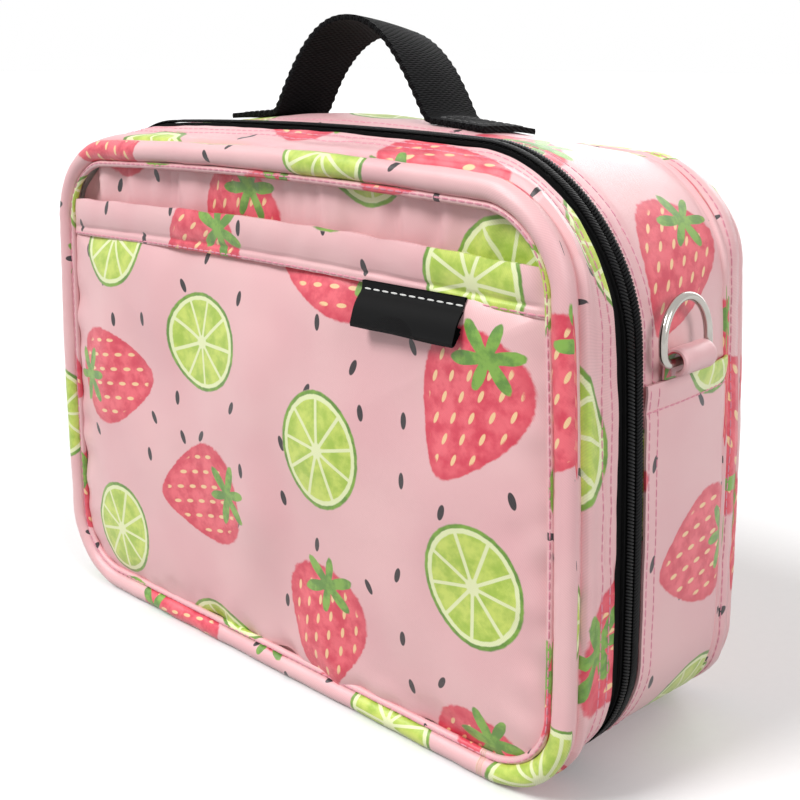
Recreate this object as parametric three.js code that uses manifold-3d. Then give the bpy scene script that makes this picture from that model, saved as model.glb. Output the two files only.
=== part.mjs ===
// An insulated zip case for cold medicine: two padded halves joined by a bottom fold, and a zip round the
// other three sides, with piped edges, a front slip pocket, side pockets, strap rings and a webbing handle.
// Units are millimetres. +Z is up, the front faces -Y, and the origin is on the base, under its middle.
import * as THREE from 'three';
import { mergeVertices } from 'three/addons/utils/BufferGeometryUtils.js';
import Module from 'manifold-3d';

const wasm = await Module();
wasm.setup();

// Case size, over the piping
const caseWidth = 250;
const caseHeight = 182;
const pipingSpan = 88;
const pipingDiameter = 7.5;
const cornerRadius = 30;

// Soft shape: the base spreads, the edges bow and the padded gusset swells past the piping
const baseSpread = 4.5;
const topCrown = 4;
const sideBow = 2.5;
const gussetSwell = 5.5;
const sideSwellShare = 0.5;
const swellRounding = 20;
const baseRounding = 12;
const panelCrown = 2;

// Layers, from the outside in
const fabricThickness = 1.2;
const foamThickness = 4;
const liningThickness = 0.8;
const tapeThickness = 0.8;
const layerGap = 0.3;
const seamGap = 0.45;

// Zip, placed from the front piping
const zipFromFront = 22.5;
const coilWidth = 3.5;
const coilProud = 1;
const coilParting = 1;
const tapeShown = 3.3;
const tapeHidden = 4;

// Bottom fold that the lid turns on
const foldLength = 150;
const foldWidth = 3;
const foldThickness = 1;
const foldClearance = 0.7;

// Front pocket
const panelSink = 3.2;
const pocketFromTop = 22;
const pocketBandHeight = 12;
const pocketDepth = 4.4;
const pocketThickness = 1;
const pocketSwell = 1.5;
const sewnCorner = 1.5;
const labelWidth = 40.5;
const labelHeight = 14;
const labelThickness = 1.2;
const labelFromEdge = 56.5;
const labelOverlap = 1;
const labelFlare = 30;

// Side pockets, strap tabs and rings
const hemHeight = 125.5;
const sidePocketThickness = 1;
const tabWidth = 17;
const tabRollDiameter = 8.4;
const tabStem = 1.5;
const ringWire = 2.6;
const ringPlay = 0.7;
const ringWidth = 27;
const ringLength = 20.5;
const ringCorner = 3.4;
const ringLean = -5;
const ringSlip = 2;
const ringDepth = 0;

// Handle
const webbingWidth = 25.4;
const webbingThickness = 1.8;
const handleSpan = 72;
const handleFoot = 25;
const handleRise = 33;
const handleDepth = 5.5;

// Zip slider and pull on the left side
const sliderHeight = 56;
const sliderTravel = 60;
const sliderLength = 11;
const sliderWidth = 9;
const sliderPlate = 1.4;
const sliderClearance = 0.5;
const bridgeRadius = 2.65;
const bridgeWire = 1.5;
const pullLength = 26;
const pullThickness = 1.4;
const pullEye = 3.5;
const pullRim = 1.7;

// Inside fittings
const gelThickness = 8;
const gelWidth = 170;
const gelHeight = 100;
const gelBase = 16;
const meshTop = 128;
const meshThickness = 0.8;
const meshHem = 9;
const loopCount = 6;
const loopPitch = 30;
const loopRise = 9;
const loopBand = 28;
const loopHeight = 95;
const elasticThickness = 1.2;

// Facets
const cornerSteps = 5;
const edgeSteps = 6;
const pipingSides = 8;
const wireSides = 6;
const ringSteps = 36;

// Places worked out from the sizes above
const frontPiping = -pipingSpan / 2;
const backPiping = pipingSpan / 2;
const pipingRadius = pipingDiameter / 2;
const split = frontPiping + zipFromFront;
const frontSeam = frontPiping + pipingRadius + seamGap;
const backSeam = backPiping - pipingRadius - seamGap;
const panelInset = pipingDiameter + seamGap;
const tapeDepth = fabricThickness + layerGap;
const foamDepth = fabricThickness + layerGap;
const liningDepth = foamDepth + foamThickness + layerGap;
const liningInside = liningDepth + liningThickness;
const foldReach = foldWidth / 2 + foldClearance;
const coilReach = coilParting / 2 + coilWidth;
const frontFabricEdge = split - coilReach - tapeShown;
const backFabricEdge = split + coilReach + layerGap;
const frontTapeEnd = frontFabricEdge - tapeHidden;
const backTapeEnd = backFabricEdge + tapeHidden;
const pocketTop = caseHeight - pocketFromTop;
const labelCentre = caseWidth / 2 - labelFromEdge;
const hemLevel = Math.min(hemHeight, caseHeight + gussetSwell - cornerRadius - swellRounding);

// Materials
function paint(color, roughness, metalness = 0) {
  return new THREE.MeshStandardMaterial({ color, roughness, metalness });
}
const printedFabric = paint(0xf0b9bf, 0.55);
const foamSheet = paint(0xf2f2ee, 0.95);
const liningSheet = paint(0xc9ccd2, 0.4);
const blackWebbing = paint(0x111113, 0.8);
const blackZip = paint(0x0d0d0f, 0.6);
const nickel = paint(0xcfcac2, 0.22, 1);
const blackMesh = paint(0x1b1b1e, 0.9);
const gelFilm = paint(0xa9cbe6, 0.3);

// Makes a geometry from points and triangles, with its faces turned outwards.
function closedGeometry(points, faces) {
  let volume = 0;
  for (const [a, b, c] of faces) {
    volume += points[a].dot(new THREE.Vector3().crossVectors(points[b], points[c]));
  }
  const index = faces.flatMap(([a, b, c]) => (volume < 0 ? [a, c, b] : [a, b, c]));
  const geometry = new THREE.BufferGeometry();
  geometry.setAttribute('position', new THREE.Float32BufferAttribute(points.flatMap((p) => p.toArray()), 3));
  geometry.setIndex(index);
  return geometry;
}

// Wraps rings of equal length in one closed skin.
// A wrapped skin meets its first ring again, others get end caps.
function skin(rings, wrap = false) {
  const size = rings[0].length;
  const points = rings.flat();
  const faces = [];
  const spans = wrap ? rings.length : rings.length - 1;
  for (let j = 0; j < spans; j++) {
    const here = j * size;
    const next = ((j + 1) % rings.length) * size;
    for (let i = 0; i < size; i++) {
      const k = (i + 1) % size;
      faces.push([here + i, next + i, next + k], [here + i, next + k, here + k]);
    }
  }
  const ends = wrap ? [] : [0, rings.length - 1];
  for (const ring of ends) {
    const middle = rings[ring].reduce((sum, p) => sum.add(p), new THREE.Vector3()).divideScalar(size);
    const centre = points.push(middle) - 1;
    for (let i = 0; i < size; i++) {
      const a = ring * size + i;
      const b = ring * size + ((i + 1) % size);
      faces.push(ring === 0 ? [centre, a, b] : [centre, b, a]);
    }
  }
  return closedGeometry(points, faces);
}

// Turns a geometry into a solid for joining, and back.
function toSolid(geometry) {
  const bare = geometry.clone();
  bare.deleteAttribute('normal');
  bare.deleteAttribute('uv');
  const merged = mergeVertices(bare, 1e-4);
  const vertProperties = Float32Array.from(merged.attributes.position.array);
  const triVerts = Uint32Array.from(merged.index.array);
  return new wasm.Manifold(new wasm.Mesh({ numProp: 3, vertProperties, triVerts }));
}

function joined(...geometries) {
  const mesh = geometries.map(toSolid).reduce((sum, solid) => sum.add(solid)).getMesh();
  const geometry = new THREE.BufferGeometry();
  geometry.setAttribute('position', new THREE.Float32BufferAttribute(mesh.vertProperties, 3));
  geometry.setIndex(new THREE.Uint32BufferAttribute(mesh.triVerts, 1));
  return geometry;
}

// Bends a point of the plain rounded box to the soft case: wider at the base, bowed sides, crowned top.
function soften(x, z) {
  const w = THREE.MathUtils.clamp((2 * z) / caseHeight - 1, -1, 1);
  const u = THREE.MathUtils.clamp((2 * x) / caseWidth, -1, 1);
  const spread = 1 - ((2 * baseSpread) / caseWidth) * w;
  return { x: x * spread + sideBow * (1 - w * w) * u, z: z + topCrown * (1 - u * u) * Math.max(0, w) };
}

// Softened rounded rectangle in the XZ plane, from the right end of its bottom edge round to that
// point again. fold is 1 along the bottom edge, where the zip gives way to the fold.
function roundedRing({ half, low, high, lowRadius, highRadius, sides = [] }) {
  const flat = [];
  const arc = (cx, cz, radius, from) => {
    for (let s = 0; s <= cornerSteps; s++) {
      const angle = THREE.MathUtils.degToRad(from + (90 * s) / cornerSteps);
      flat.push({ x: cx + radius * Math.cos(angle), z: cz + radius * Math.sin(angle), fold: 0 });
    }
  };
  const line = (x0, x1, z, fold) => {
    for (let s = 1; s < edgeSteps; s++) flat.push({ x: x0 + ((x1 - x0) * s) / edgeSteps, z, fold });
  };
  arc(half - lowRadius, low + lowRadius, lowRadius, -90);
  for (const z of sides) flat.push({ x: half, z, fold: 0 });
  arc(half - highRadius, high - highRadius, highRadius, 0);
  line(half - highRadius, highRadius - half, high, 0);
  arc(highRadius - half, high - highRadius, highRadius, 90);
  for (const z of [...sides].reverse()) flat.push({ x: -half, z, fold: 0 });
  arc(lowRadius - half, low + lowRadius, lowRadius, 180);
  line(lowRadius - half, half - lowRadius, low, 1);
  return flat.map((p) => ({ ...soften(p.x, p.z), fold: p.fold }));
}

// Ring of the case wall: swell moves it out on all sides but the base, depth moves it in all round.
const sideStations = [0.5, 0.75, 1].map((share) => share * hemLevel);
function wallShape(swell, depth) {
  const share = swell / gussetSwell;
  return {
    half: caseWidth / 2 + swell * sideSwellShare - depth,
    low: Math.max(0, depth),
    high: caseHeight + swell - depth,
    lowRadius: cornerRadius - depth + share * baseRounding,
    highRadius: cornerRadius - depth + share * swellRounding,
  };
}

function wallRing(swell, depth) {
  return roundedRing({ ...wallShape(swell, depth), sides: sideStations });
}

// How far the gusset swells at a distance from front to back: most at the zip, none at the piping.
function swellAt(y) {
  const reach = y < split ? split - frontSeam : backSeam - split;
  const share = (y - split) / reach;
  return gussetSwell * (1 - share * share);
}

// Indices of the wall ring: the zip runs over the first part, the fold takes the bottom edge.
const cornerPoints = cornerSteps + 1;
const zipPoints = 4 * cornerPoints + 2 * sideStations.length + edgeSteps - 1;
const hemPoint = cornerPoints + sideStations.length - 1;

// Sweeps a closed profile of wall points round the case.
// Where foldY is given it replaces y along the bottom edge.
function wallSweep(profile, first = 0, last = Infinity) {
  const columns = profile.map((p) => wallRing(p.swell, p.depth).map(
    (q) => new THREE.Vector3(q.x, THREE.MathUtils.lerp(p.y, p.foldY ?? p.y, q.fold), q.z)));
  const count = columns[0].length;
  const end = Math.min(last, count - 1);
  const rings = [];
  for (let i = first; i <= end; i++) rings.push(columns.map((column) => column[i]));
  return skin(rings, first === 0 && end === count - 1);
}

// Profile of a band of the wall between two distances, following the swell, with its thickness inwards.
function bandProfile(y0, y1, depth, thickness, steps, foldY) {
  const outer = [];
  const inner = [];
  for (let s = 0; s <= steps; s++) {
    const y = y0 + ((y1 - y0) * s) / steps;
    const place = { swell: swellAt(y), y, foldY: s === 0 ? foldY : undefined };
    outer.push({ ...place, depth });
    inner.push({ ...place, depth: depth + thickness });
  }
  return [...outer, ...inner.reverse()];
}

// Flat or swelling plate in a rounded outline. face is its outer face at the rim, and outwards is -1
// or 1 along Y. The rim's rings are insets with their share of the swell.
const plateRim = [[0, 0], [12, 0.6], [24, 1]];
function plate({ half, low, high, lowRadius, highRadius }, face, outwards, thickness, swell) {
  const usedShare = 0.9;
  const leastRadius = 0.2;
  const room = Math.min(half, (high - low) / 2) * usedShare;
  const widest = plateRim[plateRim.length - 1][0];
  const scale = Math.min(1, room / widest);
  const rim = swell === 0 ? plateRim.slice(0, 1) : plateRim;
  const side = (y) => rim.map(([inset, share]) => {
    const more = inset * scale;
    const ring = roundedRing({
      half: half - more,
      low: low + more,
      high: high - more,
      lowRadius: Math.max(lowRadius - more, leastRadius),
      highRadius: Math.max(highRadius - more, leastRadius),
    });
    return ring.map((q) => new THREE.Vector3(q.x, y + outwards * swell * share, q.z));
  });
  return skin([...side(face).reverse(), ...side(face - outwards * thickness)]);
}

// Tub that lines one half, from its floor to the mouth and back to the floor.
// inwards is the way from floor to mouth, -1 or 1 along Y.
function liningTub(floor, mouth, inwards, steps) {
  const ring = (depth, y) => wallRing(swellAt(y), depth).map((q) => new THREE.Vector3(q.x, y, q.z));
  const wall = (from, depth) => {
    const rings = [];
    for (let s = 0; s <= steps; s++) rings.push(ring(depth, from + ((mouth - from) * s) / steps));
    return rings;
  };
  const outside = wall(floor, liningDepth);
  const inside = wall(floor + inwards * liningThickness, liningInside);
  return skin([...outside, ...inside.reverse()]);
}

// Covered cord that edges a panel.
function pipingRing(y) {
  const profile = [];
  for (let s = 0; s < pipingSides; s++) {
    const angle = (2 * Math.PI * s) / pipingSides;
    const depth = pipingRadius * (1 - Math.cos(angle));
    profile.push({ swell: 0, depth, y: y + pipingRadius * Math.sin(angle) });
  }
  return wallSweep(profile);
}

// Half of the zip: a tape that ends under the fabric, and the coil along its edge.
// side is -1 in front and 1 behind.
function zipTape(side, end) {
  const near = split + side * (coilParting / 2 + layerGap);
  return wallSweep(bandProfile(near, end, tapeDepth, tapeThickness, 2), 0, zipPoints - 1);
}

function zipCoil(side) {
  const near = split + (side * coilParting) / 2;
  const far = split + side * coilReach;
  const swell = swellAt(split);
  const round = coilWidth / 4;
  const profile = [
    { swell, depth: fabricThickness, y: near },
    { swell, depth: -coilProud, y: near },
    { swell, depth: -coilProud, y: far - side * round },
    { swell, depth: -coilProud + round, y: far },
    { swell, depth: fabricThickness, y: far },
  ];
  return wallSweep(profile, 0, zipPoints - 1);
}

// Places on the outside of the gusset
function topHeight(x, y) {
  return soften(x, caseHeight).z + swellAt(y);
}

function sideReach(y, z) {
  return soften(caseWidth / 2 + swellAt(y) * sideSwellShare, z).x;
}

// Extrudes a shape drawn in its own X and Y to both sides of its plane.
function slab(shape, thickness, curveSegments = 8) {
  const geometry = new THREE.ExtrudeGeometry(shape, { depth: thickness, bevelEnabled: false, curveSegments });
  geometry.translate(0, 0, -thickness / 2);
  return geometry;
}

// Turns that lay a slab's X and Y along two axes of the case
const alongXZ = (geometry) => geometry.rotateX(Math.PI / 2);
const alongYZ = (geometry) => geometry.rotateX(Math.PI / 2).rotateZ(Math.PI / 2);

// Fold of the bottom gusset between the halves, flat below and round above.
function bottomFold() {
  const half = foldWidth / 2;
  const shape = new THREE.Shape();
  shape.moveTo(-half, 0);
  shape.lineTo(half, 0);
  shape.absellipse(0, 0, half, foldThickness, 0, Math.PI, false);
  return alongYZ(slab(shape, foldLength));
}

// Webbing handle: two feet that lie on the top and an arch between them.
function handleStrap() {
  const inner = handleSpan / 2;
  const footSteps = 4;
  const archSteps = 20;
  const fullness = 2.3;
  const foot = [];
  for (let s = 0; s <= footSteps; s++) foot.push(inner + (handleFoot * s) / footSteps);
  const line = [...foot].reverse().map((x) => new THREE.Vector2(-x, 0));
  for (let s = 1; s < archSteps; s++) {
    const share = (2 * s) / archSteps - 1;
    line.push(new THREE.Vector2(inner * share, handleRise * (1 - Math.abs(share) ** fullness)));
  }
  line.push(...foot.map((x) => new THREE.Vector2(x, 0)));
  const across = [-webbingWidth / 2, 0, webbingWidth / 2];
  const rings = line.map((p, i) => {
    const before = line[Math.max(0, i - 1)];
    const after = line[Math.min(line.length - 1, i + 1)];
    const along = after.clone().sub(before).normalize();
    const level = Math.min(1, (2 * p.y) / handleRise);
    const at = (dy, out) => {
      const follow = topHeight(p.x, handleDepth + dy);
      const flat = topHeight(p.x, handleDepth);
      const z = THREE.MathUtils.lerp(follow, flat, level) + layerGap + p.y;
      return new THREE.Vector3(p.x - along.y * out, handleDepth + dy, z + along.x * out);
    };
    const below = across.map((dy) => at(dy, 0));
    const above = across.map((dy) => at(dy, webbingThickness));
    return [...below, ...above.reverse()];
  });
  return skin(rings);
}

// Flat pocket on the side of the gusset, open at its hem. hand is 1 on the right, -1 on the left.
function sidePocket(hand) {
  const cornerShare = 0.6;
  const lowest = Math.ceil(cornerSteps * cornerShare);
  const outside = -layerGap - sidePocketThickness;
  const from = backFabricEdge + layerGap;
  const to = backSeam - layerGap;
  const profile = bandProfile(from, to, outside, sidePocketThickness, 5);
  return hand > 0
    ? wallSweep(profile, lowest, hemPoint)
    : wallSweep(profile, zipPoints - 1 - hemPoint, zipPoints - 1 - lowest);
}

// Strap tab: a loop of folded fabric that stands on the hem, with the ring's bar through it.
// The bar is its origin.
const tabRadius = tabRollDiameter / 2;
const tabFoot = tabRadius + tabStem;
const barHeight = hemLevel + layerGap + tabFoot;
const barReach = sideReach(ringDepth - tabWidth / 2, hemLevel) + layerGap + tabRadius;
function strapTab() {
  const hole = ringWire / 2 + ringPlay;
  const shape = new THREE.Shape();
  shape.absarc(0, 0, tabRadius, -Math.PI / 4, Math.PI, false);
  shape.lineTo(-tabRadius, -tabFoot);
  shape.lineTo(-hole, -tabFoot);
  shape.closePath();
  shape.holes.push(new THREE.Path().absarc(0, 0, hole, 0, 2 * Math.PI, true));
  return alongXZ(slab(shape, tabWidth, 14));
}

// Strap ring: a straight bar along Y, closed by a bow that stands up from it.
function strapRing() {
  const radius = ringWire / 2;
  const half = ringWidth / 2 - radius;
  const shoulder = ringLength - ringWire - half;
  const bow = new THREE.Path();
  bow.moveTo(0, 0);
  bow.lineTo(half - ringCorner, 0);
  bow.absarc(half - ringCorner, ringCorner, ringCorner, -Math.PI / 2, 0, false);
  bow.lineTo(half, shoulder);
  bow.absarc(0, shoulder, half, 0, Math.PI, false);
  bow.lineTo(-half, ringCorner);
  bow.absarc(ringCorner - half, ringCorner, ringCorner, Math.PI, 1.5 * Math.PI, false);
  bow.lineTo(0, 0);
  const path = bow.getSpacedPoints(ringSteps).slice(0, -1);
  const rings = path.map((p, i) => {
    const before = path[(i + path.length - 1) % path.length];
    const after = path[(i + 1) % path.length];
    const along = after.clone().sub(before).normalize();
    const ring = [];
    for (let s = 0; s < wireSides; s++) {
      const angle = (2 * Math.PI * s) / wireSides;
      const out = radius * Math.cos(angle);
      ring.push(new THREE.Vector3(radius * Math.sin(angle), p.x + along.y * out, p.y - along.x * out));
    }
    return ring;
  });
  return skin(rings, true);
}

// Rectangle with round corners, centred.
function roundedRectangle(width, height, radius) {
  const w = width / 2 - radius;
  const h = height / 2 - radius;
  const shape = new THREE.Shape();
  shape.absarc(w, -h, radius, -Math.PI / 2, 0, false);
  shape.absarc(w, h, radius, 0, Math.PI / 2, false);
  shape.absarc(-w, h, radius, Math.PI / 2, Math.PI, false);
  shape.absarc(-w, -h, radius, Math.PI, 1.5 * Math.PI, false);
  shape.closePath();
  return shape;
}

// Gel pack: a slab whose rim is thinner than its middle.
function gelPack() {
  const rimShare = 0.35;
  const bevel = gelThickness * rimShare;
  const shape = roundedRectangle(gelWidth - 2 * bevel, gelHeight - 2 * bevel, 2 * bevel);
  const depth = gelThickness - 2 * bevel;
  const round = { bevelSize: bevel, bevelThickness: bevel, bevelSegments: 2 };
  const options = { depth, ...round, curveSegments: 4 };
  return alongXZ(new THREE.ExtrudeGeometry(shape, options).translate(0, 0, -depth / 2));
}

// Elastic band sewn to the lining between round loops for pens and vials. Its sewn side is at y = 0.
function loopBandStrip() {
  const width = loopCount * loopPitch;
  const steps = loopCount * 8;
  const fullness = 0.8;
  const near = [];
  const far = [];
  for (let s = 0; s <= steps; s++) {
    const wave = Math.abs(Math.sin((Math.PI * loopCount * s) / steps)) ** fullness;
    const x = -width / 2 + (width * s) / steps;
    near.push(new THREE.Vector2(x, -loopRise * wave));
    far.push(new THREE.Vector2(x, -loopRise * wave - elasticThickness));
  }
  return slab(new THREE.Shape([...near, ...far.reverse()]), loopBand);
}

// Zip slider: plates over and under the coils, a post between them and a bridge for the pull. Outwards is +X.
const pullAxis = sliderPlate + bridgeRadius - bridgeWire / 2;
function sliderBody() {
  const w = sliderWidth / 2;
  const l = sliderLength / 2;
  const nose = w * 0.55;
  const throat = w * 0.25;
  const shoulder = -l * 0.1;
  const fork = l * 0.7;
  const outline = new THREE.Shape();
  outline.moveTo(-nose, -l);
  outline.lineTo(nose, -l);
  outline.lineTo(w, shoulder);
  outline.lineTo(w, l);
  outline.lineTo(throat, l);
  outline.lineTo(0, fork);
  outline.lineTo(-throat, l);
  outline.lineTo(-w, l);
  outline.lineTo(-w, shoulder);
  outline.closePath();
  const coilSpace = coilProud + tapeDepth + tapeThickness + 2 * sliderClearance;
  const outer = alongYZ(slab(outline, sliderPlate)).translate(sliderPlate / 2, 0, 0);
  const inner = alongYZ(slab(outline, sliderPlate)).translate(-coilSpace - sliderPlate / 2, 0, 0);
  const postWidth = coilParting / 2;
  const postDrop = l * 0.2;
  const post = new THREE.BoxGeometry(coilSpace + sliderPlate, postWidth, l);
  post.translate(-coilSpace / 2, 0, -postDrop);
  const arch = new THREE.Shape();
  const outside = bridgeRadius + bridgeWire / 2;
  const inside = bridgeRadius - bridgeWire / 2;
  const root = pullAxis - sliderPlate / 2;
  arch.moveTo(outside, -root);
  arch.absarc(0, 0, outside, 0, Math.PI, false);
  arch.lineTo(-outside, -root);
  arch.lineTo(-inside, -root);
  arch.absarc(0, 0, inside, Math.PI, 0, true);
  arch.lineTo(inside, -root);
  arch.closePath();
  const bridge = alongXZ(slab(arch, bridgeWire)).rotateY(Math.PI / 2).translate(pullAxis, 0, 0);
  return joined(outer, inner, post, bridge);
}

// Zip pull: a flat tab that hangs from the origin by the rim of its eye.
function pullTab() {
  const eye = pullEye / 2;
  const w = eye + pullRim;
  const top = -eye - pullRim / 2;
  const waist = w * 0.7;
  const end = w * 0.9;
  const neck = top - pullLength * 0.35;
  const shape = new THREE.Shape();
  shape.absarc(0, top, w, 0, Math.PI, false);
  shape.lineTo(-waist, neck);
  shape.lineTo(-end, -pullLength + w);
  shape.absarc(0, -pullLength + w, end, Math.PI, 2 * Math.PI, false);
  shape.lineTo(waist, neck);
  shape.closePath();
  shape.holes.push(new THREE.Path().absarc(0, top, eye, 0, 2 * Math.PI, true));
  return alongYZ(slab(shape, pullThickness));
}

const part = new THREE.Group();
function add(name, geometry, material, parent = part) {
  const mesh = new THREE.Mesh(geometry, material);
  mesh.name = name;
  parent.add(mesh);
  return mesh;
}

// Front half, which is the lid
const panelShape = wallShape(0, panelInset);
const frontFace = frontPiping + panelSink;
const frontBoard = frontFace + fabricThickness + layerGap;
const frontFloor = frontBoard + foamThickness + layerGap;
const frontBand = bandProfile(frontFabricEdge, frontSeam, 0, fabricThickness, 3, split - foldReach);
const frontFoamBand = bandProfile(frontTapeEnd - layerGap, frontSeam, foamDepth, foamThickness, 2);
add('front_panel', plate(panelShape, frontFace, -1, fabricThickness, 0), printedFabric);
add('front_foam_board', plate(panelShape, frontBoard, -1, foamThickness, 0), foamSheet);
add('front_gusset', wallSweep(frontBand), printedFabric);
add('front_gusset_foam', wallSweep(frontFoamBand), foamSheet);
add('front_lining', liningTub(frontFloor, split - layerGap, 1, 3), liningSheet);
add('front_piping', pipingRing(frontPiping), printedFabric);
add('zip_tape_front', zipTape(-1, frontTapeEnd), blackZip);
add('zip_coil_front', zipCoil(-1), blackZip);

// Slip pocket on the front, its hemmed band and the folded label in their seam
const pocketFace = frontFace - pocketDepth - pocketThickness;
const bandBase = pocketTop - pocketBandHeight;
const pocketShape = { ...panelShape, high: bandBase, highRadius: sewnCorner };
const bandCorners = { lowRadius: sewnCorner, highRadius: sewnCorner };
const bandHalf = panelShape.half - sewnCorner;
const bandShape = { half: bandHalf, low: bandBase + layerGap, high: pocketTop, ...bandCorners };
add('front_pocket', plate(pocketShape, pocketFace, -1, pocketThickness, pocketSwell), printedFabric);
add('front_pocket_band', plate(bandShape, pocketFace, -1, pocketThickness, pocketSwell / 2), printedFabric);
const labelShape = roundedRectangle(labelWidth, labelHeight, sewnCorner);
const labelSolid = alongXZ(slab(labelShape, labelThickness));
labelSolid.translate(0, -labelThickness / 2, -labelHeight / 2);
const label = add('woven_label', labelSolid, blackWebbing);
label.position.set(labelCentre, pocketFace - layerGap, bandBase + labelOverlap);
label.rotation.x = THREE.MathUtils.degToRad(-labelFlare);

// Cold pack in the lid, behind a mesh pocket with an elastic hem
const gelBack = frontFloor + liningThickness + layerGap + gelThickness;
const meshFace = gelBack + layerGap;
const meshWall = wallShape(swellAt(meshFace - meshThickness), liningInside + 2 * layerGap);
const meshShape = { ...meshWall, high: meshTop, highRadius: sewnCorner };
const hemShape = { ...meshWall, low: meshTop + layerGap, high: meshTop + meshHem, ...bandCorners };
const gel = add('cold_pack', gelPack(), gelFilm);
gel.position.set(0, gelBack - gelThickness / 2, gelBase + gelHeight / 2);
add('mesh_pocket', plate(meshShape, meshFace, -1, meshThickness, 0), blackMesh);
add('mesh_pocket_hem', plate(hemShape, meshFace, -1, elasticThickness, 0), blackMesh);

// Back half
const backBoard = backPiping - fabricThickness - layerGap;
const backFloor = backBoard - foamThickness - layerGap;
const backBand = bandProfile(backFabricEdge, backSeam, 0, fabricThickness, 5, split + foldReach);
const backFoamBand = bandProfile(backTapeEnd + layerGap, backSeam, foamDepth, foamThickness, 4);
add('back_panel', plate(panelShape, backPiping, 1, fabricThickness, panelCrown), printedFabric);
add('back_foam_board', plate(panelShape, backBoard, 1, foamThickness, panelCrown), foamSheet);
add('back_gusset', wallSweep(backBand), printedFabric);
add('back_gusset_foam', wallSweep(backFoamBand), foamSheet);
add('back_lining', liningTub(backFloor, split + layerGap, -1, 4), liningSheet);
add('back_piping', pipingRing(backPiping), printedFabric);
add('zip_tape_back', zipTape(1, backTapeEnd), blackZip);
add('zip_coil_back', zipCoil(1), blackZip);
add('carry_handle', handleStrap(), blackWebbing);
add('bottom_fold', bottomFold(), printedFabric).position.set(0, split, 0);
const loops = add('elastic_loops', loopBandStrip(), blackWebbing);
loops.position.set(0, backFloor - liningThickness - layerGap, loopHeight);

// Side pockets, strap tabs and rings, the left ones turned half round
for (const [hand, side] of [[1, 'right'], [-1, 'left']]) {
  add(`side_pocket_${side}`, sidePocket(hand), printedFabric);
  const stand = new THREE.Group();
  stand.position.set(hand * barReach, ringDepth, barHeight);
  stand.rotation.z = hand > 0 ? 0 : Math.PI;
  part.add(stand);
  add(`strap_tab_${side}`, strapTab(), printedFabric, stand);
  const ring = add(`strap_ring_${side}`, strapRing(), nickel, stand);
  ring.position.y = -hand * ringSlip;
  ring.rotation.y = THREE.MathUtils.degToRad(ringLean);
}

// Zip slider and pull on the left, along the line that the coil takes over the slider's travel
const coilSide = (z) => sideReach(split, z) + coilProud + sliderClearance;
const sliderLean = Math.atan2(coilSide(sliderHeight) - coilSide(sliderHeight + sliderTravel), sliderTravel);
const track = new THREE.Group();
track.position.set(-coilSide(sliderHeight), split, sliderHeight);
track.rotation.set(0, sliderLean, Math.PI, 'YXZ');
part.add(track);
add('zip_slider', sliderBody(), nickel, track);
const pull = add('zip_pull', pullTab(), nickel, track);
pull.position.x = pullAxis;
pull.rotation.y = sliderLean;

export default part;
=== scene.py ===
# %% [markdown]
# A padded zip case for cold medicine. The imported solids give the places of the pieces, and this lesson
# dresses them: sewn panels with a printed satin cloth, covered piping, a coil zip, webbing, nickel fittings
# and a lining. The soft pieces share one curved outline, so that outline is worked out first and each piece
# is swept from it.

# %% Load the frame
import math
from collections import namedtuple

import bpy
import numpy as np
from mathutils import Matrix, Vector, noise


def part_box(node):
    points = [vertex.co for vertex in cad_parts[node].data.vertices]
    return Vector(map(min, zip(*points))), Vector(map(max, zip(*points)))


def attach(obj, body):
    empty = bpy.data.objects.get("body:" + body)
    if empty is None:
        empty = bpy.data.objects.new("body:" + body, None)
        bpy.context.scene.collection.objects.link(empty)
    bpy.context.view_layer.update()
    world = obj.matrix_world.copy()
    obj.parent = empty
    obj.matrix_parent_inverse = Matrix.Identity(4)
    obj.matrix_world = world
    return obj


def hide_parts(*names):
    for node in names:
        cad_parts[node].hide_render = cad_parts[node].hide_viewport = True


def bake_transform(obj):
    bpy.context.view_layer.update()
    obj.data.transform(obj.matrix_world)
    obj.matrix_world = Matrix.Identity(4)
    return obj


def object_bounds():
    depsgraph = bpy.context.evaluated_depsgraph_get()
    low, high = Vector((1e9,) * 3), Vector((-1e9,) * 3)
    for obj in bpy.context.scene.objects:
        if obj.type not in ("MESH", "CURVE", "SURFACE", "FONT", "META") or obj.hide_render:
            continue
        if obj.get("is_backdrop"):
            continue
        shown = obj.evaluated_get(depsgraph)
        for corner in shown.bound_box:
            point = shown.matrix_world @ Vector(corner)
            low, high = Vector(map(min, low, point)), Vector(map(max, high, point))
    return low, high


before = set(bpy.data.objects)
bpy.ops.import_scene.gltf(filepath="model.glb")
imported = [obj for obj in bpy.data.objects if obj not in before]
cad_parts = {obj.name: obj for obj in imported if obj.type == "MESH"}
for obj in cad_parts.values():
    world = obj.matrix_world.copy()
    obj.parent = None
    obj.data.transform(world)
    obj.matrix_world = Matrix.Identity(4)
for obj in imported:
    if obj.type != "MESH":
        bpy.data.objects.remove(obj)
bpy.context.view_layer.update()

# %% [markdown]
# The sizes are those of the real case, in metres. Over the piping it is 250 mm wide and 182 mm high, and
# the two pipings stand 88 mm apart. The base spreads a little under the weight, and the padded gusset
# swells past the piping.

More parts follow.
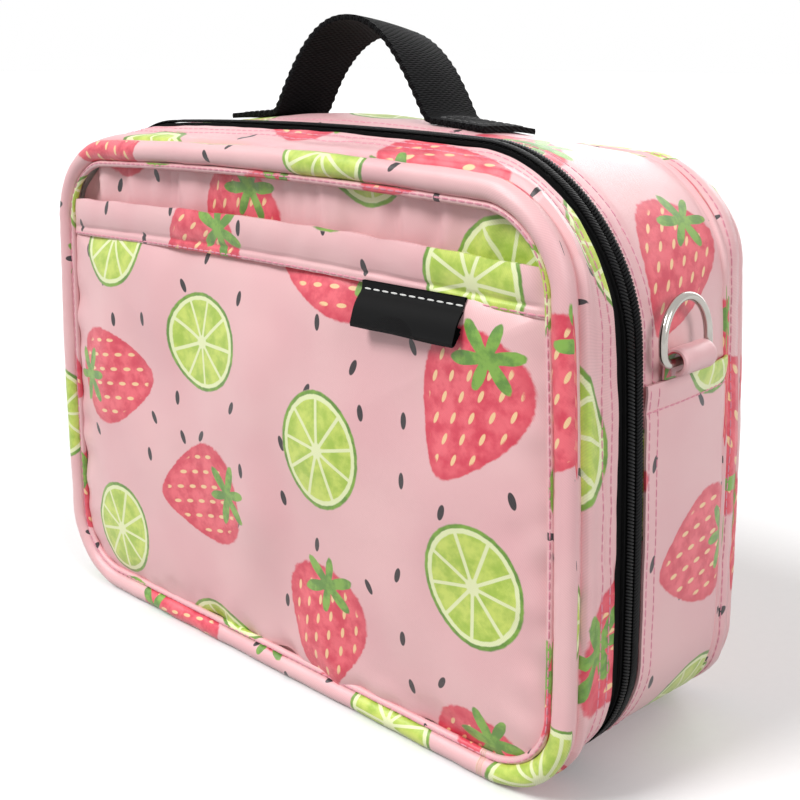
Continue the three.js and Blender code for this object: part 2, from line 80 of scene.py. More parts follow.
# %% Sizes of the case
MM = 0.001
CASE_WIDTH = 250 * MM
CASE_HEIGHT = 182 * MM
PIPING_SPAN = 88 * MM
PIPING_RADIUS = 3.75 * MM
CORNER_RADIUS = 30 * MM
BASE_SPREAD = 4.5 * MM
TOP_CROWN = 4 * MM
SIDE_BOW = 2.5 * MM
GUSSET_SWELL = 5.5 * MM
SIDE_SWELL_SHARE = 0.5
SWELL_ROUNDING = 20 * MM
BASE_ROUNDING = 12 * MM
FABRIC = 1.2 * MM
FOAM = 4 * MM
LINING = 0.8 * MM
GAP = 0.3 * MM
SEAM_GAP = 0.45 * MM
ZIP_FROM_FRONT = 22.5 * MM
COIL_WIDTH = 3.5 * MM
COIL_PARTING = 1 * MM
FRONT_LIP = 3.3 * MM
FOLD_REACH = 2.2 * MM
FRONT_PIPING = -PIPING_SPAN / 2
BACK_PIPING = PIPING_SPAN / 2
SPLIT = FRONT_PIPING + ZIP_FROM_FRONT
FRONT_SEAM = FRONT_PIPING + PIPING_RADIUS + SEAM_GAP
BACK_SEAM = BACK_PIPING - PIPING_RADIUS - SEAM_GAP
PANEL_INSET = 2 * PIPING_RADIUS + SEAM_GAP
FRONT_EDGE = SPLIT - COIL_PARTING / 2 - COIL_WIDTH - FRONT_LIP
BACK_EDGE = SPLIT + COIL_PARTING / 2 + COIL_WIDTH + GAP
strip_widths = [FRONT_EDGE - FRONT_SEAM, BACK_SEAM - BACK_EDGE]
print("front and back strip, mm:", [round(width / MM, 1) for width in strip_widths])

# %% [markdown]
# The case outline is a rounded rectangle that is then softened: the sides bow, the top crowns and the base
# spreads. Each stretch of the outline always gets the same number of points, so rings at other depths match
# point for point. The zip follows the first stretches, from the lower right corner over the top to the
# lower left corner.

# %% The soft outline
CORNER_POINTS = 26
SIDE_POINTS = 56
EDGE_POINTS = 90
ZIP_POINTS = 4 * CORNER_POINTS + 2 * SIDE_POINTS + EDGE_POINTS
FOLD_RAMP = 0.12


def soften(x, z):
    """Bows the sides, crowns the top and spreads the base of a plain rectangle's points."""
    w = np.clip(2 * z / CASE_HEIGHT - 1, -1, 1)
    u = np.clip(2 * x / CASE_WIDTH, -1, 1)
    spread = 1 - 2 * BASE_SPREAD / CASE_WIDTH * w
    return x * spread + SIDE_BOW * (1 - w * w) * u, z + TOP_CROWN * (1 - u * u) * np.maximum(0, w)


def outline(half, low, high, low_radius, high_radius):
    """Points of a softened rounded rectangle in XZ, counter-clockwise from its lower right corner."""
    stretches = []

    def arc(cx, cz, radius, start):
        angle = np.radians(start + 90 * np.arange(CORNER_POINTS) / CORNER_POINTS)
        stretches.append(np.stack([cx + radius * np.cos(angle), cz + radius * np.sin(angle)], 1))

    def line(x0, z0, x1, z1, count):
        share = np.arange(count)[:, None] / count
        stretches.append(np.array([[x0, z0]]) * (1 - share) + np.array([[x1, z1]]) * share)

    arc(half - low_radius, low + low_radius, low_radius, -90)
    line(half, low + low_radius, half, high - high_radius, SIDE_POINTS)
    arc(half - high_radius, high - high_radius, high_radius, 0)
    line(half - high_radius, high, high_radius - half, high, EDGE_POINTS)
    arc(high_radius - half, high - high_radius, high_radius, 90)
    line(-half, high - high_radius, -half, low + low_radius, SIDE_POINTS)
    arc(low_radius - half, low + low_radius, low_radius, 180)
    line(low_radius - half, low, half - low_radius, low, EDGE_POINTS)
    flat = np.concatenate(stretches)
    return np.stack(soften(flat[:, 0], flat[:, 1]), 1)


def wall_shape(swell, depth):
    """Half width, low, high and corner radii of the case wall, swollen outwards and taken in by depth."""
    share = swell / GUSSET_SWELL
    half = CASE_WIDTH / 2 + SIDE_SWELL_SHARE * swell - depth
    low_radius = CORNER_RADIUS - depth + share * BASE_ROUNDING
    high_radius = CORNER_RADIUS - depth + share * SWELL_ROUNDING
    return half, max(0, depth), CASE_HEIGHT + swell - depth, low_radius, high_radius


def swell_at(y):
    """How far the gusset swells past the piping, most at the zip."""
    reach = SPLIT - FRONT_SEAM if y < SPLIT else BACK_SEAM - SPLIT
    return GUSSET_SWELL * (1 - ((y - SPLIT) / reach) ** 2)


def wall_ring(y, depth, swell=None):
    """Outline of the case wall at one distance y, taken in by depth."""
    return outline(*wall_shape(swell_at(y) if swell is None else swell, depth))


def at_depth(ring, y):
    """Lifts a ring of XZ points to 3D. y is one distance or one for each point."""
    return np.stack([ring[:, 0], np.broadcast_to(y, len(ring)), ring[:, 1]], 1)


# 1 along the bottom edge and 0 round the rest, with a short ramp at both ends of that edge
BOTTOM_SHARE = np.arange(EDGE_POINTS) / EDGE_POINTS
BOTTOM = np.zeros(ZIP_POINTS + EDGE_POINTS)
BOTTOM[ZIP_POINTS:] = np.clip(np.minimum(BOTTOM_SHARE, 1 - BOTTOM_SHARE) / FOLD_RAMP, 0, 1)
print("outline points:", len(BOTTOM))

# %% [markdown]
# Every soft piece is a grid of points wrapped round the case. One helper turns such a grid into a mesh with
# a UV map in metres, so that a printed motif keeps its real size on every panel. A second helper moves the
# surface in and out along its normals, for the creases and puckers that sewn cloth has, and a third ties
# the piece to the frame.

# %% Mesh helpers
SMOOTH_ANGLE = math.radians(50)
# Where on the bolt of cloth a piece is cut, in metres. The others start at its corner.
CUT_AT = {
    "front_piping_cover": (0.013, 0.31),
    "back_piping_cover": (0.021, 0.47),
    "front_welt": (0.05, 0.13),
    "back_welt": (0.02, 0.23),
    "back_roll": (0.07, 0.41),
    "front_strip": (0.016, 0.61),
    "back_strip": (0.083, 0.72),
    "fold_strip": (0.3, 0.2),
    "front_panel_cloth": (0.171, 0.053),
    "back_panel_cloth": (0.412, 0.087),
    "pocket_band_cloth": (0.0, 0.027),
    "side_pocket_right_cloth": (0.19, 0.35),
    "side_pocket_left_cloth": (0.19, 0.35),
    "strap_tab_right_cloth": (0.05, 0.11),
    "strap_tab_left_cloth": (0.05, 0.11),
}
# One layer of creases: its height, how many lie in a metre, a seed, and how close they lie along each axis
Layer = namedtuple("Layer", "height fineness seed closeness", defaults=(0.0, (1.0, 1.0, 1.0)))


def unit(vectors):
    """Each row of an array scaled to length 1."""
    return vectors / np.linalg.norm(vectors, axis=1)[:, None]


def run_along(path):
    """Distance along a path from its first point to each of its points."""
    return np.concatenate([[0], np.linalg.norm(np.diff(path, axis=0), axis=1).cumsum()])


def only(piece):
    """Selects one piece and nothing else."""
    bpy.ops.object.select_all(action="DESELECT")
    piece.select_set(True)
    bpy.context.view_layer.objects.active = piece


def face_outwards(piece):
    """Turns every face outwards and shades the piece smooth, but for its sharp edges."""
    only(piece)
    bpy.ops.object.mode_set(mode="EDIT")
    bpy.ops.mesh.select_all(action="SELECT")
    bpy.ops.mesh.normals_make_consistent(inside=False)
    bpy.ops.object.mode_set(mode="OBJECT")
    bpy.ops.object.shade_smooth_by_angle(angle=SMOOTH_ANGLE)
    return piece


def add_object(name, data):
    """Puts a mesh, a camera or a light into the scene as one object."""
    made = bpy.data.objects.new(name, data)
    bpy.context.collection.objects.link(made)
    return made


def grid_piece(name, points, wrap_rows, wrap_columns, caps=False, ends=False, uv=None):
    """A mesh from points of shape (rows, columns, 3). Caps close the outer rows, ends the outer columns."""
    rows, columns = points.shape[:2]
    index = np.arange(rows * columns).reshape(rows, columns)
    row = np.arange(rows if wrap_rows else rows - 1)
    column = np.arange(columns if wrap_columns else columns - 1)
    next_row, next_column = (row + 1) % rows, (column + 1) % columns
    corners = [(row, column), (next_row, column), (next_row, next_column), (row, next_column)]
    faces = np.stack([index[np.ix_(*corner)] for corner in corners], -1).reshape(-1, 4).tolist()
    if caps:
        faces += [index[0].tolist(), index[-1][::-1].tolist()]
    if ends:
        faces += [index[:, 0].tolist(), index[::-1, -1].tolist()]
    if uv is None:
        along = np.linalg.norm(np.diff(points, axis=1, append=points[:, :1]), axis=2).cumsum(1)
        across = np.linalg.norm(np.diff(points, axis=0, prepend=points[:1]), axis=2).mean(1).cumsum(0)
        uv = np.stack([along[rows // 2][None, :].repeat(rows, 0), across[:, None].repeat(columns, 1)], -1)
    mesh = bpy.data.meshes.new(name)
    mesh.from_pydata(points.reshape(-1, 3).tolist(), [], faces)
    layer = mesh.uv_layers.new(name="cloth")
    used = np.empty(len(mesh.loops), dtype=np.int32)
    mesh.loops.foreach_get("vertex_index", used)
    cloth = uv.reshape(-1, 2)[used] + np.array(CUT_AT.get(name, (0.0, 0.0)))
    layer.data.foreach_set("uv", cloth.astype(np.float32).ravel())
    return face_outwards(add_object(name, mesh))


def creases(x, y, z, layers):
    """Height of all the layers of creases at one place."""
    height = 0.0
    for layer in layers:
        near_x, near_y, near_z = layer.closeness
        height += layer.height * noise.noise(Vector((x * near_x * layer.fineness + layer.seed,
                                                     y * near_y * layer.fineness,
                                                     z * near_z * layer.fineness + layer.seed)))
    return height


def ripple(piece, height):
    """Moves each point along its normal by height(x, y, z, normal), in metres."""
    moved = [(v.co + v.normal * height(v.co.x, v.co.y, v.co.z, v.normal))[:] for v in piece.data.vertices]
    piece.data.vertices.foreach_set("co", np.array(moved, dtype=np.float32).ravel())
    piece.data.update()
    return piece


def dress(piece, body, material, slot, *nodes):
    """Gives a piece its finish and its body, and hides the solids that it stands for. The slot is not used.
    """
    piece.data.materials.clear()
    piece.data.materials.append(material)
    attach(piece, body)
    if nodes:
        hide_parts(*nodes)
    return piece


def tell(*pieces):
    """Prints how many faces each finished piece has."""
    print({piece.name: len(piece.data.polygons) for piece in pieces})


print("pieces cut at a place of their own:", len(CUT_AT))

# %% [markdown]
# Materials are built from nodes with a small helper that writes shader sums as plain calls. Colours are
# given as they look on screen and turned to linear light.

# %% Node helpers
# The mix node has sockets for every kind of data. These are the numbers of its colour sockets.
MIX_SHARE, MIX_FIRST, MIX_SECOND, MIX_RESULT = 0, 6, 7, 2


def colour(red, green, blue):
    linear = [c / 12.92 if c <= 0.04045 else ((c + 0.055) / 1.055) ** 2.4 for c in (red, green, blue)]
    return (*linear, 1.0)


def darker(shade, share):
    return (*(share * c for c in shade[:3]), 1.0)


class Nodes:
    """Short calls for the nodes of one material."""

    def __init__(self, name):
        self.material = bpy.data.materials.new(name)
        self.material.use_nodes = True
        self.tree = self.material.node_tree
        self.shader = self.tree.nodes["Principled BSDF"]

    def node(self, kind, **settings):
        made = self.tree.nodes.new(kind)
        for key, value in settings.items():
            setattr(made, key, value)
        return made

    def feed(self, socket, value):
        if isinstance(value, bpy.types.NodeSocket):
            self.tree.links.new(value, socket)
        else:
            socket.default_value = value

    def math(self, operation, *values):
        made = self.node("ShaderNodeMath", operation=operation)
        for socket, value in zip(made.inputs, values):
            self.feed(socket, value)
        return made.outputs[0]

    def total(self, first, *others):
        for other in others:
            first = self.math("ADD", first, other)
        return first

    def product(self, a, b):
        return self.math("MULTIPLY", a, b)

    def less(self, a, b):
        return self.math("SUBTRACT", a, b)

    def length(self, x, y):
        return self.math("SQRT", self.math("ADD", self.product(x, x), self.product(y, y)))

    def ramp(self, value, low, high):
        """A smooth step from 0 at low to 1 at high. Where low lies above high, it falls instead."""
        made = self.node("ShaderNodeMapRange", interpolation_type="SMOOTHSTEP")
        for socket, entry in zip(made.inputs, (value, low, high, 0.0, 1.0)):
            self.feed(socket, entry)
        return made.outputs[0]

    def mix(self, share, first, second):
        made = self.node("ShaderNodeMix", data_type="RGBA")
        for socket, value in ((MIX_SHARE, share), (MIX_FIRST, first), (MIX_SECOND, second)):
            self.feed(made.inputs[socket], value)
        return made.outputs[MIX_RESULT]

    def split(self, vector):
        made = self.node("ShaderNodeSeparateXYZ")
        self.feed(made.inputs[0], vector)
        return made.outputs[0], made.outputs[1], made.outputs[2]

    def vector(self, x, y, z=0.0):
        made = self.node("ShaderNodeCombineXYZ")
        for socket, value in zip(made.inputs, (x, y, z)):
            self.feed(socket, value)
        return made.outputs[0]

    def chance(self, vector):
        """Three random numbers from 0 to 1, the same for the same vector."""
        made = self.node("ShaderNodeTexWhiteNoise", noise_dimensions="3D")
        self.feed(made.inputs["Vector"], vector)
        return self.split(made.outputs["Color"])

    def grain(self, vector, scale, detail=2.0, roughness=0.5):
        made = self.node("ShaderNodeTexNoise")
        self.feed(made.inputs["Vector"], vector)
        self.feed(made.inputs["Scale"], scale)
        self.feed(made.inputs["Detail"], detail)
        self.feed(made.inputs["Roughness"], roughness)
        return made.outputs["Fac"]

    def place(self, output="UV"):
        return self.node("ShaderNodeTexCoord").outputs[output]

    def bump(self, height, strength, distance):
        made = self.node("ShaderNodeBump")
        self.feed(made.inputs["Strength"], strength)
        self.feed(made.inputs["Distance"], distance)
        self.feed(made.inputs["Height"], height)
        self.feed(self.shader.inputs["Normal"], made.outputs["Normal"])

    def finish(self, **values):
        for key, value in values.items():
            self.feed(self.shader.inputs[key.replace("_", " ")], value)
        return self.material


print("mid grey in linear light:", round(colour(0.5, 0.5, 0.5)[0], 3))

# %% [markdown]
# The cloth is a pink satin polyester with a fruit print. The print here is a plain design of its own:
# strawberries and lime slices on a grid whose odd columns drop by half. Each fruit is drawn in units of its
# grid cell. The colours run unevenly between two tones, as in a watercolour, and a wobble makes the edges
# less even.

# %% Fruit for the print
BERRY_WIDTH, BERRY_HEIGHT = 0.26, 0.33
BERRY_TAPER, BERRY_DROP = 1.35, 0.04
BERRY_TONES = (colour(0.965, 0.42, 0.47), colour(0.86, 0.22, 0.32))
BERRY_RIM, RIM_SHARE = colour(0.83, 0.2, 0.3), 0.55
PIP_COLUMNS, PIP_ROWS, PIP_SLIM = 13.0, 10.0, 2.1
PIP_CREAM = colour(0.99, 0.83, 0.62)
CROWN_RISE, CROWN_FLAT = 0.2, 1.25
LEAF_COUNT, LEAF_REACH, LEAF_WAVE, LEAF_EDGE, LEAF_WOBBLE = 6.0, 0.115, 0.062, 0.006, 0.25
LEAF_TONES = (colour(0.36, 0.56, 0.2), colour(0.52, 0.71, 0.28))
LIME_SEGMENTS, LIME_NARROW, LIME_WOBBLE = 9, 1.14, 0.12
LIME_RIND = (colour(0.36, 0.55, 0.16), colour(0.5, 0.68, 0.22))
LIME_FLESH = (colour(0.83, 0.9, 0.42), colour(0.66, 0.79, 0.27))
LIME_PITH = colour(0.94, 0.97, 0.76)
# Whole segments added to an angle, so that its fraction is never taken from a negative number
WHOLE_SEGMENTS = 20.0


def turned(n, x, y, angle):
    cosine, sine = n.math("COSINE", angle), n.math("SINE", angle)
    return n.less(n.product(x, cosine), n.product(y, sine)), n.total(n.product(x, sine), n.product(y, cosine))


def half_drop(n, number):
    """Half a cell for an odd number and nothing for an even one."""
    return n.product(n.math("PINGPONG", number, 1.0), 0.5)


def from_middle(n, value):
    """Place within a cell, counted from its middle."""
    return n.less(n.math("FRACT", value), 0.5)


def strawberry(n, ground, x, y, wash, wobble):
    """A berry that narrows to its tip, with pips and leaves. Gives its colours and where it lies."""
    taper = n.total(n.product(y, BERRY_TAPER), 1.0)
    across = n.math("DIVIDE", x, n.product(taper, BERRY_WIDTH))
    along = n.product(n.total(y, BERRY_DROP), 1 / BERRY_HEIGHT)
    reach = n.total(n.length(across, along), wobble)
    inside = n.ramp(reach, low=1.0, high=0.95)
    flesh = n.mix(n.ramp(wash, low=0.36, high=0.66), *BERRY_TONES)
    flesh = n.mix(n.product(n.ramp(reach, low=0.72, high=1.0), RIM_SHARE), flesh, BERRY_RIM)
    pip_x = n.product(x, PIP_COLUMNS)
    pip_y = n.total(n.product(y, PIP_ROWS), half_drop(n, n.math("FLOOR", pip_x)))
    pip = n.length(n.product(from_middle(n, pip_x), PIP_SLIM), from_middle(n, pip_y))
    pip_ink = n.product(n.ramp(pip, low=0.30, high=0.22), n.ramp(reach, low=0.86, high=0.8))
    painted = n.mix(inside, ground, n.mix(pip_ink, flesh, PIP_CREAM))
    crown_y = n.less(y, CROWN_RISE)
    angle = n.math("ARCTAN2", x, crown_y)
    leaf = n.total(n.product(n.math("COSINE", n.product(angle, LEAF_COUNT)), LEAF_WAVE), LEAF_REACH)
    spread = n.total(n.length(x, n.product(crown_y, CROWN_FLAT)), n.product(wobble, LEAF_WOBBLE))
    leaves = n.ramp(n.less(spread, leaf), low=LEAF_EDGE, high=-LEAF_EDGE)
    green = n.mix(n.ramp(wash, low=0.4, high=0.6), *LEAF_TONES)
    return n.mix(leaves, painted, green), n.math("MAXIMUM", inside, leaves)


def lime_slice(n, ground, x, y, wash, wobble):
    """A cut lime: segments with pith round them, and a rind. Gives its colours and where it lies."""
    reach = n.total(n.length(n.product(x, LIME_NARROW), y), n.product(wobble, LIME_WOBBLE))
    angle = n.product(n.math("ARCTAN2", x, y), LIME_SEGMENTS / (2 * math.pi))
    off = n.math("ABSOLUTE", from_middle(n, n.total(angle, WHOLE_SEGMENTS)))
    wall = n.product(n.product(reach, n.less(0.5, off)), 2 * math.pi / LIME_SEGMENTS)
    rind = n.mix(n.ramp(wash, low=0.4, high=0.62), *LIME_RIND)
    flesh = n.mix(n.ramp(wash, low=0.34, high=0.66), *LIME_FLESH)
    inner = n.mix(n.ramp(wall, low=0.007, high=0.013), LIME_PITH, flesh)
    inner = n.mix(n.ramp(reach, low=0.05, high=0.035), inner, LIME_PITH)
    inner = n.mix(n.ramp(reach, low=0.262, high=0.27), inner, LIME_PITH)
    inner = n.mix(n.ramp(reach, low=0.288, high=0.295), inner, rind)
    inside = n.ramp(reach, low=0.318, high=0.308)
    return n.mix(inside, ground, inner), inside


print("lime segments:", LIME_SEGMENTS, "leaves:", int(LEAF_COUNT))

# %% [markdown]
# The print lays the fruit out, with small dark dashes between. Each grid cell draws a random shift and
# turn, so that the rows don't look stamped, and a share of the dashes is left out. Fine weave and a
# slanting twill line finish the satin.

# %% The printed satin
MOTIF_CELL, MOTIF_SHIFT, MOTIF_TURN, MOTIF_SEED = 60 * MM, 0.16, 3.6, 3.0
BERRY_SIZE = 1.22
LIME_SIZE = 1.06
EDGE_WOBBLE = 0.09
DASH_CELL, DASH_SHIFT, DASH_TURN, DASH_SEED = 19 * MM, 0.5, 1.3, 8.0
DASH_WIDTH, DASH_LENGTH, DASH_LEFT_OUT = 0.06, 0.14, 0.52
DASH_INK = colour(0.07, 0.07, 0.085)
PINK_TONES = (colour(0.945, 0.76, 0.765), colour(0.925, 0.715, 0.73))
WEAVE_PITCH, WEAVE_SLANT, WEAVE_CROSS, WEAVE_RELIEF = 0.55 * MM, 0.5, 1.3, 0.25
TWILL_PITCH, TWILL_SLANT, TWILL_SHADE = 0.75 * MM, 0.8, 0.09
TWILL_TONE = colour(0.62, 0.42, 0.46)
SOFT_RELIEF, SATIN_ROUGHNESS, ROUGHNESS_SPREAD = 0.6, 0.27, 0.14


def cell_place(n, uv, size):
    """Cell numbers and place in the cell, on a grid whose odd columns drop by half."""
    x, y, _ = n.split(uv)
    x, y = n.product(x, 1 / size), n.product(y, 1 / size)
    column = n.math("FLOOR", x)
    y = n.total(y, half_drop(n, column))
    row = n.math("FLOOR", y)
    return column, row, n.less(n.less(x, column), 0.5), n.less(n.less(y, row), 0.5)


def drawn_shift(n, value, draw, shift):
    return n.total(value, n.product(n.less(draw, 0.5), shift))


def fruit_layer(n, uv, ground):
    """The fruit on its ground, and where its ink lies."""
    column, row, x, y = cell_place(n, uv, MOTIF_CELL)
    first, second, third = n.chance(n.vector(column, row, MOTIF_SEED))
    x, y = drawn_shift(n, x, first, MOTIF_SHIFT), drawn_shift(n, y, second, MOTIF_SHIFT)
    x, y = turned(n, x, y, n.product(n.less(third, 0.5), MOTIF_TURN))
    wash = n.grain(uv, scale=150.0, detail=4.0, roughness=0.6)
    wobble = n.product(n.less(n.grain(uv, scale=420.0, detail=3.0), 0.5), EDGE_WOBBLE)
    in_berry = [n.product(v, 1 / BERRY_SIZE) for v in (x, y)]
    in_lime = [n.product(v, 1 / LIME_SIZE) for v in (x, y)]
    berry, berry_ink = strawberry(n, ground, *in_berry, wash, wobble)
    lime, lime_ink = lime_slice(n, ground, *in_lime, wash, wobble)
    which = n.math("PINGPONG", n.total(row, n.math("FLOOR", n.product(column, 0.5))), 1.0)
    ink = n.total(n.product(berry_ink, n.less(1.0, which)), n.product(lime_ink, which))
    return n.mix(which, berry, lime), ink


def dash_layer(n, uv, ink):
    """Where the dashes lie: in about half of their cells, and never on the fruit."""
    column, row, x, y = cell_place(n, uv, DASH_CELL)
    first, second, third = n.chance(n.vector(column, row, DASH_SEED))
    x, y = drawn_shift(n, x, first, DASH_SHIFT), drawn_shift(n, y, second, DASH_SHIFT)
    x, y = turned(n, x, y, n.product(n.less(first, 0.5), DASH_TURN))
    dash = n.length(n.product(x, 1 / DASH_WIDTH), n.product(y, 1 / DASH_LENGTH))
    shown = n.product(n.ramp(dash, low=1.08, high=0.92), n.math("GREATER_THAN", third, DASH_LEFT_OUT))
    return n.product(shown, n.less(1.0, n.math("MINIMUM", ink, 1.0)))


def printed_satin():
    n = Nodes("printed_satin")
    uv = n.place()
    ground = n.mix(n.ramp(n.grain(uv, scale=22.0), low=0.3, high=0.7), *PINK_TONES)
    fruit, ink = fruit_layer(n, uv, ground)
    cloth = n.mix(dash_layer(n, uv, ink), fruit, DASH_INK)
    u, v, _ = n.split(uv)
    wave = 2 * math.pi / WEAVE_PITCH
    weave = n.product(n.math("SINE", n.product(n.total(u, n.product(v, WEAVE_SLANT)), wave)),
                      n.math("SINE", n.product(v, wave * WEAVE_CROSS)))
    soft = n.grain(uv, scale=260.0, detail=3.0)
    twill = n.math("SINE", n.product(n.total(u, n.product(v, TWILL_SLANT)), 2 * math.pi / TWILL_PITCH))
    cloth = n.mix(n.product(n.ramp(twill, low=-0.6, high=0.9), TWILL_SHADE), cloth, TWILL_TONE)
    relief = n.total(n.product(weave, WEAVE_RELIEF), n.product(soft, SOFT_RELIEF))
    n.bump(relief, strength=0.22, distance=0.4 * MM)
    n.feed(n.shader.inputs["Roughness"], n.total(n.product(soft, ROUGHNESS_SPREAD), SATIN_ROUGHNESS))
    return n.finish(Base_Color=cloth, Sheen_Weight=0.06, Sheen_Roughness=0.4, Specular_IOR_Level=0.6)


SATIN = printed_satin()
print("print nodes:", len(SATIN.node_tree.nodes))

# %% [markdown]
# The other finishes are plainer: thread, black webbing with its ribs, the zip's tape and nylon, nickel
# plate, the grey lining, foam, mesh and the film of the cold pack. Woven ones read the UV map, and the rest
# read Object coordinates.

# %% Other finishes
MIDDLE_TONES = (0.3, 0.7)
THREAD_SHADE = 0.82
# How much darker the grooves of a woven finish are painted: painted shade in the weave.
WEAVE_GROOVE_SHADE, FLOAT_PITCH, FLOAT_RELIEF = 0.45, 0.5, 0.45
DUST_RELIEF, DUST_TONE = 0.4, 0.6
NICKEL_TONES = (colour(0.74, 0.725, 0.7), colour(0.64, 0.625, 0.6))
NICKEL_ROUGHNESS, SMEAR_SPREAD = 0.1, 0.16
# The lining's grey for the fold troughs and for the fold crests: the difference is painted shade in the
# folds.
LINING_FOLD_SHADE_TONES = (colour(0.74, 0.75, 0.77), colour(0.84, 0.85, 0.87))
LINING_CELLS, CELL_RELIEF = 420.0, 0.5
NET_TONES = (colour(0.09, 0.09, 0.1), colour(0.16, 0.16, 0.17))
NET_PITCH, NET_ROW, NET_HOLE = 2.6 * MM, 2.2 * MM, 0.95 * MM
NET_EDGE, NET_ROUND = 0.06, 1.5


def speckled(name, tones, scale, detail, strength, distance, limits=None, **values):
    """A finish whose one grain makes its relief and mixes its two tones."""
    n = Nodes(name)
    grain = n.grain(n.place("Object"), scale, detail)
    n.bump(grain, strength, distance)
    share = n.ramp(grain, *limits) if limits else grain
    return n.finish(Base_Color=n.mix(share, *tones), **values)


def thread(name, shade):
    return speckled(name, (shade, darker(shade, THREAD_SHADE)), scale=2600.0, detail=2.0, strength=0.35,
                    distance=0.2 * MM, limits=MIDDLE_TONES, Roughness=0.55, Sheen_Weight=0.2)


def woven(name, shade, rib, depth, roughness=0.72):
    """Ribbed weave: rows of short floats along one way, with the threads crossing at rib metres."""
    n = Nodes(name)
    u, v, _ = n.split(n.place())
    turn = 2 * math.pi / rib
    rows = n.math("SINE", n.product(v, turn))
    step = n.product(n.math("SIGN", rows), math.pi / 2)
    floats = n.math("SINE", n.total(n.product(u, turn * FLOAT_PITCH), step))
    height = n.total(n.math("ABSOLUTE", rows), n.product(floats, FLOAT_RELIEF))
    dust = n.grain(n.place("Object"), scale=700.0, detail=3.0)
    n.bump(n.total(height, n.product(dust, DUST_RELIEF)), strength=0.65, distance=depth)
    # The tone is painted darker where the weave lies low, between ribs and floats: painted shade in the
    # grooves. The dust adds random tone.
    tone = n.ramp(n.total(height, n.product(dust, DUST_TONE)), low=0.2, high=1.6)
    return n.finish(Base_Color=n.mix(tone, darker(shade, WEAVE_GROOVE_SHADE), shade), Roughness=roughness,
                    Specular_IOR_Level=0.12)


def nickel_plate():
    n = Nodes("nickel_plate")
    smear = n.grain(n.place("Object"), scale=220.0, detail=4.0)
    fine = n.grain(n.place("Object"), scale=3000.0, detail=2.0)
    n.bump(fine, strength=0.04, distance=0.1 * MM)
    n.feed(n.shader.inputs["Roughness"], n.total(n.product(smear, SMEAR_SPREAD), NICKEL_ROUGHNESS))
    return n.finish(Base_Color=n.mix(smear, *NICKEL_TONES), Metallic=1.0)


def grey_lining():
    n = Nodes("grey_lining")
    place = n.place("Object")
    fold = n.grain(place, scale=90.0, detail=4.0, roughness=0.6)
    cells = n.node("ShaderNodeTexVoronoi", feature="DISTANCE_TO_EDGE")
    n.feed(cells.inputs["Vector"], place)
    n.feed(cells.inputs["Scale"], LINING_CELLS)
    n.bump(n.total(fold, n.product(cells.outputs["Distance"], CELL_RELIEF)), strength=0.25, distance=0.6 * MM)
    # The grey follows the folds, darker in their troughs and lighter on their crests: painted shade.
    return n.finish(Base_Color=n.mix(fold, *LINING_FOLD_SHADE_TONES), Roughness=0.38, Specular_IOR_Level=0.6)


def open_net():
    """Knitted net: rows of round holes, each row shifted by half a hole, with soft threads between them."""
    n = Nodes("mesh_net")
    u, v, _ = n.split(n.place())
    rows = n.product(v, 1 / NET_ROW)
    across = from_middle(n, n.total(n.product(u, 1 / NET_PITCH), half_drop(n, n.math("FLOOR", rows))))
    from_hole = n.length(n.product(across, NET_PITCH), n.product(from_middle(n, rows), NET_ROW))
    n.bump(n.ramp(from_hole, NET_HOLE, NET_ROUND * NET_HOLE), strength=0.6, distance=0.3 * MM)
    n.feed(n.shader.inputs["Alpha"], n.ramp(from_hole, (1 - NET_EDGE) * NET_HOLE, (1 + NET_EDGE) * NET_HOLE))
    tone = n.grain(n.place("Object"), scale=900.0, detail=2.0)
    return n.finish(Base_Color=n.mix(tone, *NET_TONES), Roughness=0.8)


PINK_THREAD = thread("pink_thread", colour(0.91, 0.6, 0.675))
BLACK_THREAD = thread("black_thread", colour(0.06, 0.06, 0.065))
WHITE_THREAD = thread("white_thread", colour(0.93, 0.93, 0.92))
WEBBING = woven("black_webbing", colour(0.03, 0.03, 0.038), rib=1.5 * MM, depth=0.5 * MM)
ZIP_TAPE = woven("zip_tape_weave", colour(0.03, 0.03, 0.035), rib=0.7 * MM, depth=0.2 * MM)
LABEL_WEAVE = woven("label_weave", colour(0.03, 0.03, 0.036), rib=0.5 * MM, depth=0.15 * MM, roughness=0.6)
MESH_NET = open_net()
ELASTIC = woven("black_elastic", colour(0.11, 0.11, 0.12), rib=1.1 * MM, depth=0.4 * MM)
NICKEL = nickel_plate()
NYLON = speckled("nylon_coil", (colour(0.01, 0.01, 0.014), colour(0.03, 0.03, 0.034)), scale=1800.0,
                 detail=2.0, strength=0.15, distance=0.1 * MM, Roughness=0.5, Specular_IOR_Level=0.15)
GREY_LINING = grey_lining()
FOAM_SHEET = speckled("foam_sheet", (colour(0.88, 0.88, 0.86), colour(0.97, 0.97, 0.95)), scale=1400.0,
                      detail=3.0, strength=0.4, distance=0.3 * MM, Roughness=0.95)
GEL_FILM = speckled("gel_film", (colour(0.56, 0.74, 0.88), colour(0.75, 0.87, 0.95)), scale=60.0, detail=3.0,
                    strength=0.3, distance=1.5 * MM, limits=MIDDLE_TONES, Roughness=0.22, Coat_Weight=0.3)
print("finishes:", sorted(material.name for material in bpy.data.materials if material.node_tree))

# %% [markdown]
# The camera comes early, because every later look is judged through it. It was fitted to the piping and zip
# outlines: it stands to the right of the case and a little above it, close enough for strong perspective.

# %% Camera
TURN, RISE, ROLL = math.radians(43.44), math.radians(16.05), math.radians(0.18)
DISTANCE = 437.7 * MM
TARGET = Vector((10.1 * MM, 53.1 * MM + FRONT_PIPING, 92.5 * MM))
FOCAL_PIXELS = 1191.8
FRAME_PIXELS = 800
SENSOR_WIDTH = 36
CLIP_START = 0.01

